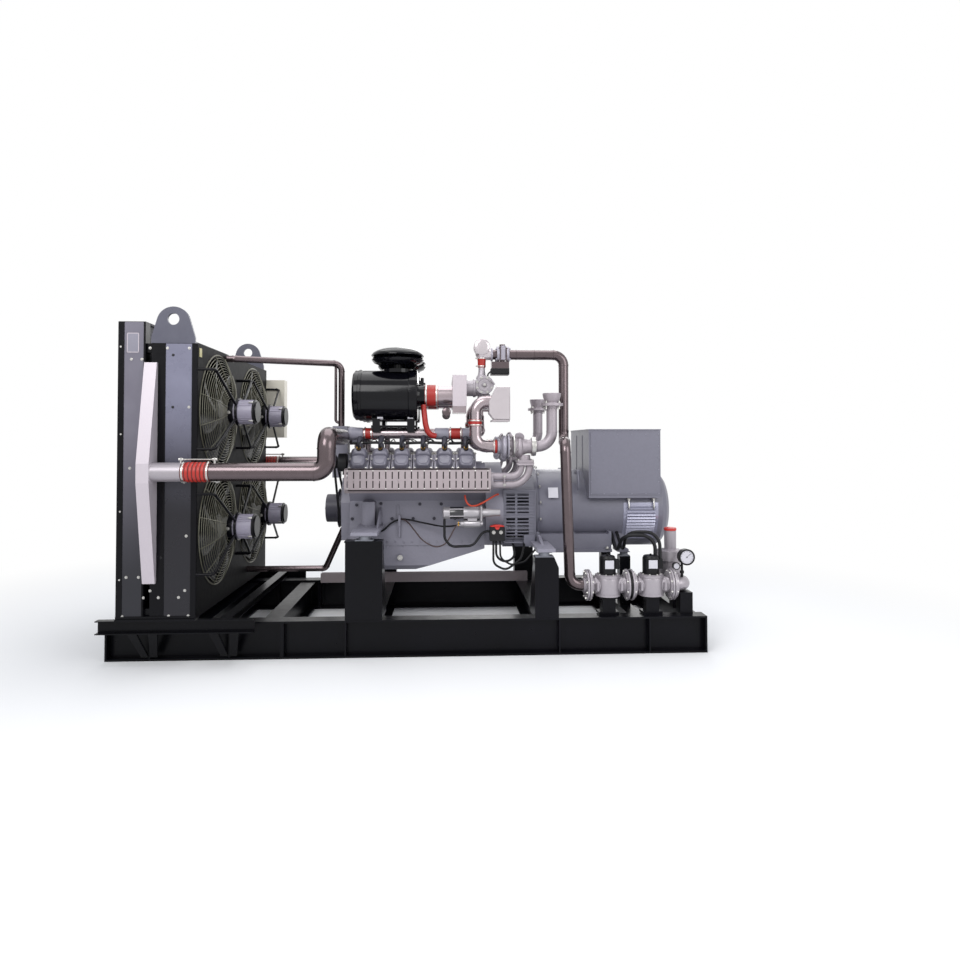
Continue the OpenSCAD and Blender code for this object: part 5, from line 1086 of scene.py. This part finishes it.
put("gauge_marks", join(
    *[spun(tick, "y", a, GAUGE_AT) for a in range(-135, 136, 27)],
    spun(brick((1913, -681.2, 630), (1915, -680.2, 678), 0.1), "y", 48, GAUGE_AT),
    turned("y", GAUGE_AT, [(-682, 0), (-682, 4), (-680, 4), (-680, 0)], 16)), CAP)
put("regulator_parts", join(
    turned("z", REGULATOR_AT, [(400, 0), (400, 60), (420, 70), (560, 72), (584, 72), (584, 96), (588, 100),
                               (612, 100), (616, 97), (620, 100), (650, 100), (655, 94), (660, 60),
                               (664, 44), (664, 0)], 56),
    bolts("z", circle_of("z", (1876, -430, 652), 88, 10), 6, 6)), TRAIN)
put("regulator_towers", turned("z", REGULATOR_AT, [(660, 0), (660, 42), (664, 43), (796, 43), (800, 40),
                                                   (800, 0)], 44), TRAIN)
put("regulator_caps", turned("z", REGULATOR_AT, [(799, 0), (799, 44), (802, 45), (816, 45), (820, 42),
                                                 (820, 0)], 44, lobes=18, depth=0.015), RED)

# Floor: one flat pale sheet, white far out, to the camera and to gloss alike
FLOOR_HALF = 30.0
FADE_FROM, FADE_TO = 2.2, 5.5


def backdrop_material():
    """Matt near-white that fades with distance from the set to a glowing white, so no horizon shows."""
    mat = bpy.data.materials.new("pale_floor")
    mat.use_nodes = True
    tree = mat.node_tree
    shader = tree.nodes["Principled BSDF"]
    shader.inputs["Base Color"].default_value = linear("#ececed")
    shader.inputs["Roughness"].default_value = 0.9
    shader.inputs["Specular IOR Level"].default_value = 0.1
    where = add(tree, "ShaderNodeTexCoord").outputs["Object"]
    apart = add(tree, "ShaderNodeVectorMath", {"operation": "LENGTH"}, links={0: where})
    far = add(tree, "ShaderNodeMapRange", {"interpolation_type": "SMOOTHSTEP"},
              {"From Min": FADE_FROM, "From Max": FADE_TO}, {"Value": apart.outputs["Value"]})
    glow = add(tree, "ShaderNodeEmission", values={"Color": (1, 1, 1, 1), "Strength": 1.0})
    mixed = add(tree, "ShaderNodeMixShader",
                links={"Fac": far.outputs[0], 1: shader.outputs[0], 2: glow.outputs[0]})
    tree.links.new(mixed.outputs[0], tree.nodes["Material Output"].inputs["Surface"])
    return mat


floor_mesh = bpy.data.meshes.new("floor")
floor_mesh.from_pydata([(FLOOR_HALF * i, FLOOR_HALF * j, 0)
                        for i, j in ((-1, -1), (1, -1), (1, 1), (-1, 1))], [], [(0, 1, 2, 3)])
floor = bpy.data.objects.new("floor", floor_mesh)
floor_mesh.materials.append(backdrop_material())
scene.collection.objects.link(floor)

world = bpy.data.worlds.new("studio")
scene.world = world
world.use_nodes = True
wtree = world.node_tree
fill = wtree.nodes["Background"]
fill.inputs["Color"].default_value = linear("#e6ebf2")
fill.inputs["Strength"].default_value = 0.62
seen = add(wtree, "ShaderNodeBackground", values={"Color": (1, 1, 1, 1), "Strength": 1.0})
rays = add(wtree, "ShaderNodeLightPath")
through = add(wtree, "ShaderNodeMath", {"operation": "MAXIMUM"},
              links={0: rays.outputs["Is Glossy Ray"], 1: rays.outputs["Is Transmission Ray"]})
direct = add(wtree, "ShaderNodeMath", {"operation": "MAXIMUM"},
             links={0: rays.outputs["Is Camera Ray"], 1: through.outputs[0]})
chosen = add(wtree, "ShaderNodeMixShader",
             links={"Fac": direct.outputs[0], 1: fill.outputs[0], 2: seen.outputs[0]})
wtree.links.new(chosen.outputs[0], wtree.nodes["World Output"].inputs["Surface"])

# Soft boxes: name, place, aim, size and power
for name, at, aim, size, watts in [
    ("key", (-2.5, -6.5, 5.5), (0.0, 0.0, 1.0), 4.0, 320),
    ("fill", (5.0, -5.0, 3.5), (0.5, 0.0, 1.0), 4.0, 150),
    ("top", (0.0, 0.5, 6.0), (0.0, 0.0, 1.0), 5.0, 190),
    ("back", (2.0, 7.0, 4.5), (0.0, 0.0, 1.0), 5.0, 150),
]:
    light = bpy.data.lights.new(name, "AREA")
    light.size = size
    light.energy = watts
    lamp = bpy.data.objects.new(name, light)
    lamp.location = at
    d = np.array(aim) - np.array(at)
    lamp.rotation_euler = (math.atan2(math.hypot(d[0], d[1]), -d[2]), 0, math.atan2(d[1], d[0]) - math.pi / 2)
    scene.collection.objects.link(lamp)
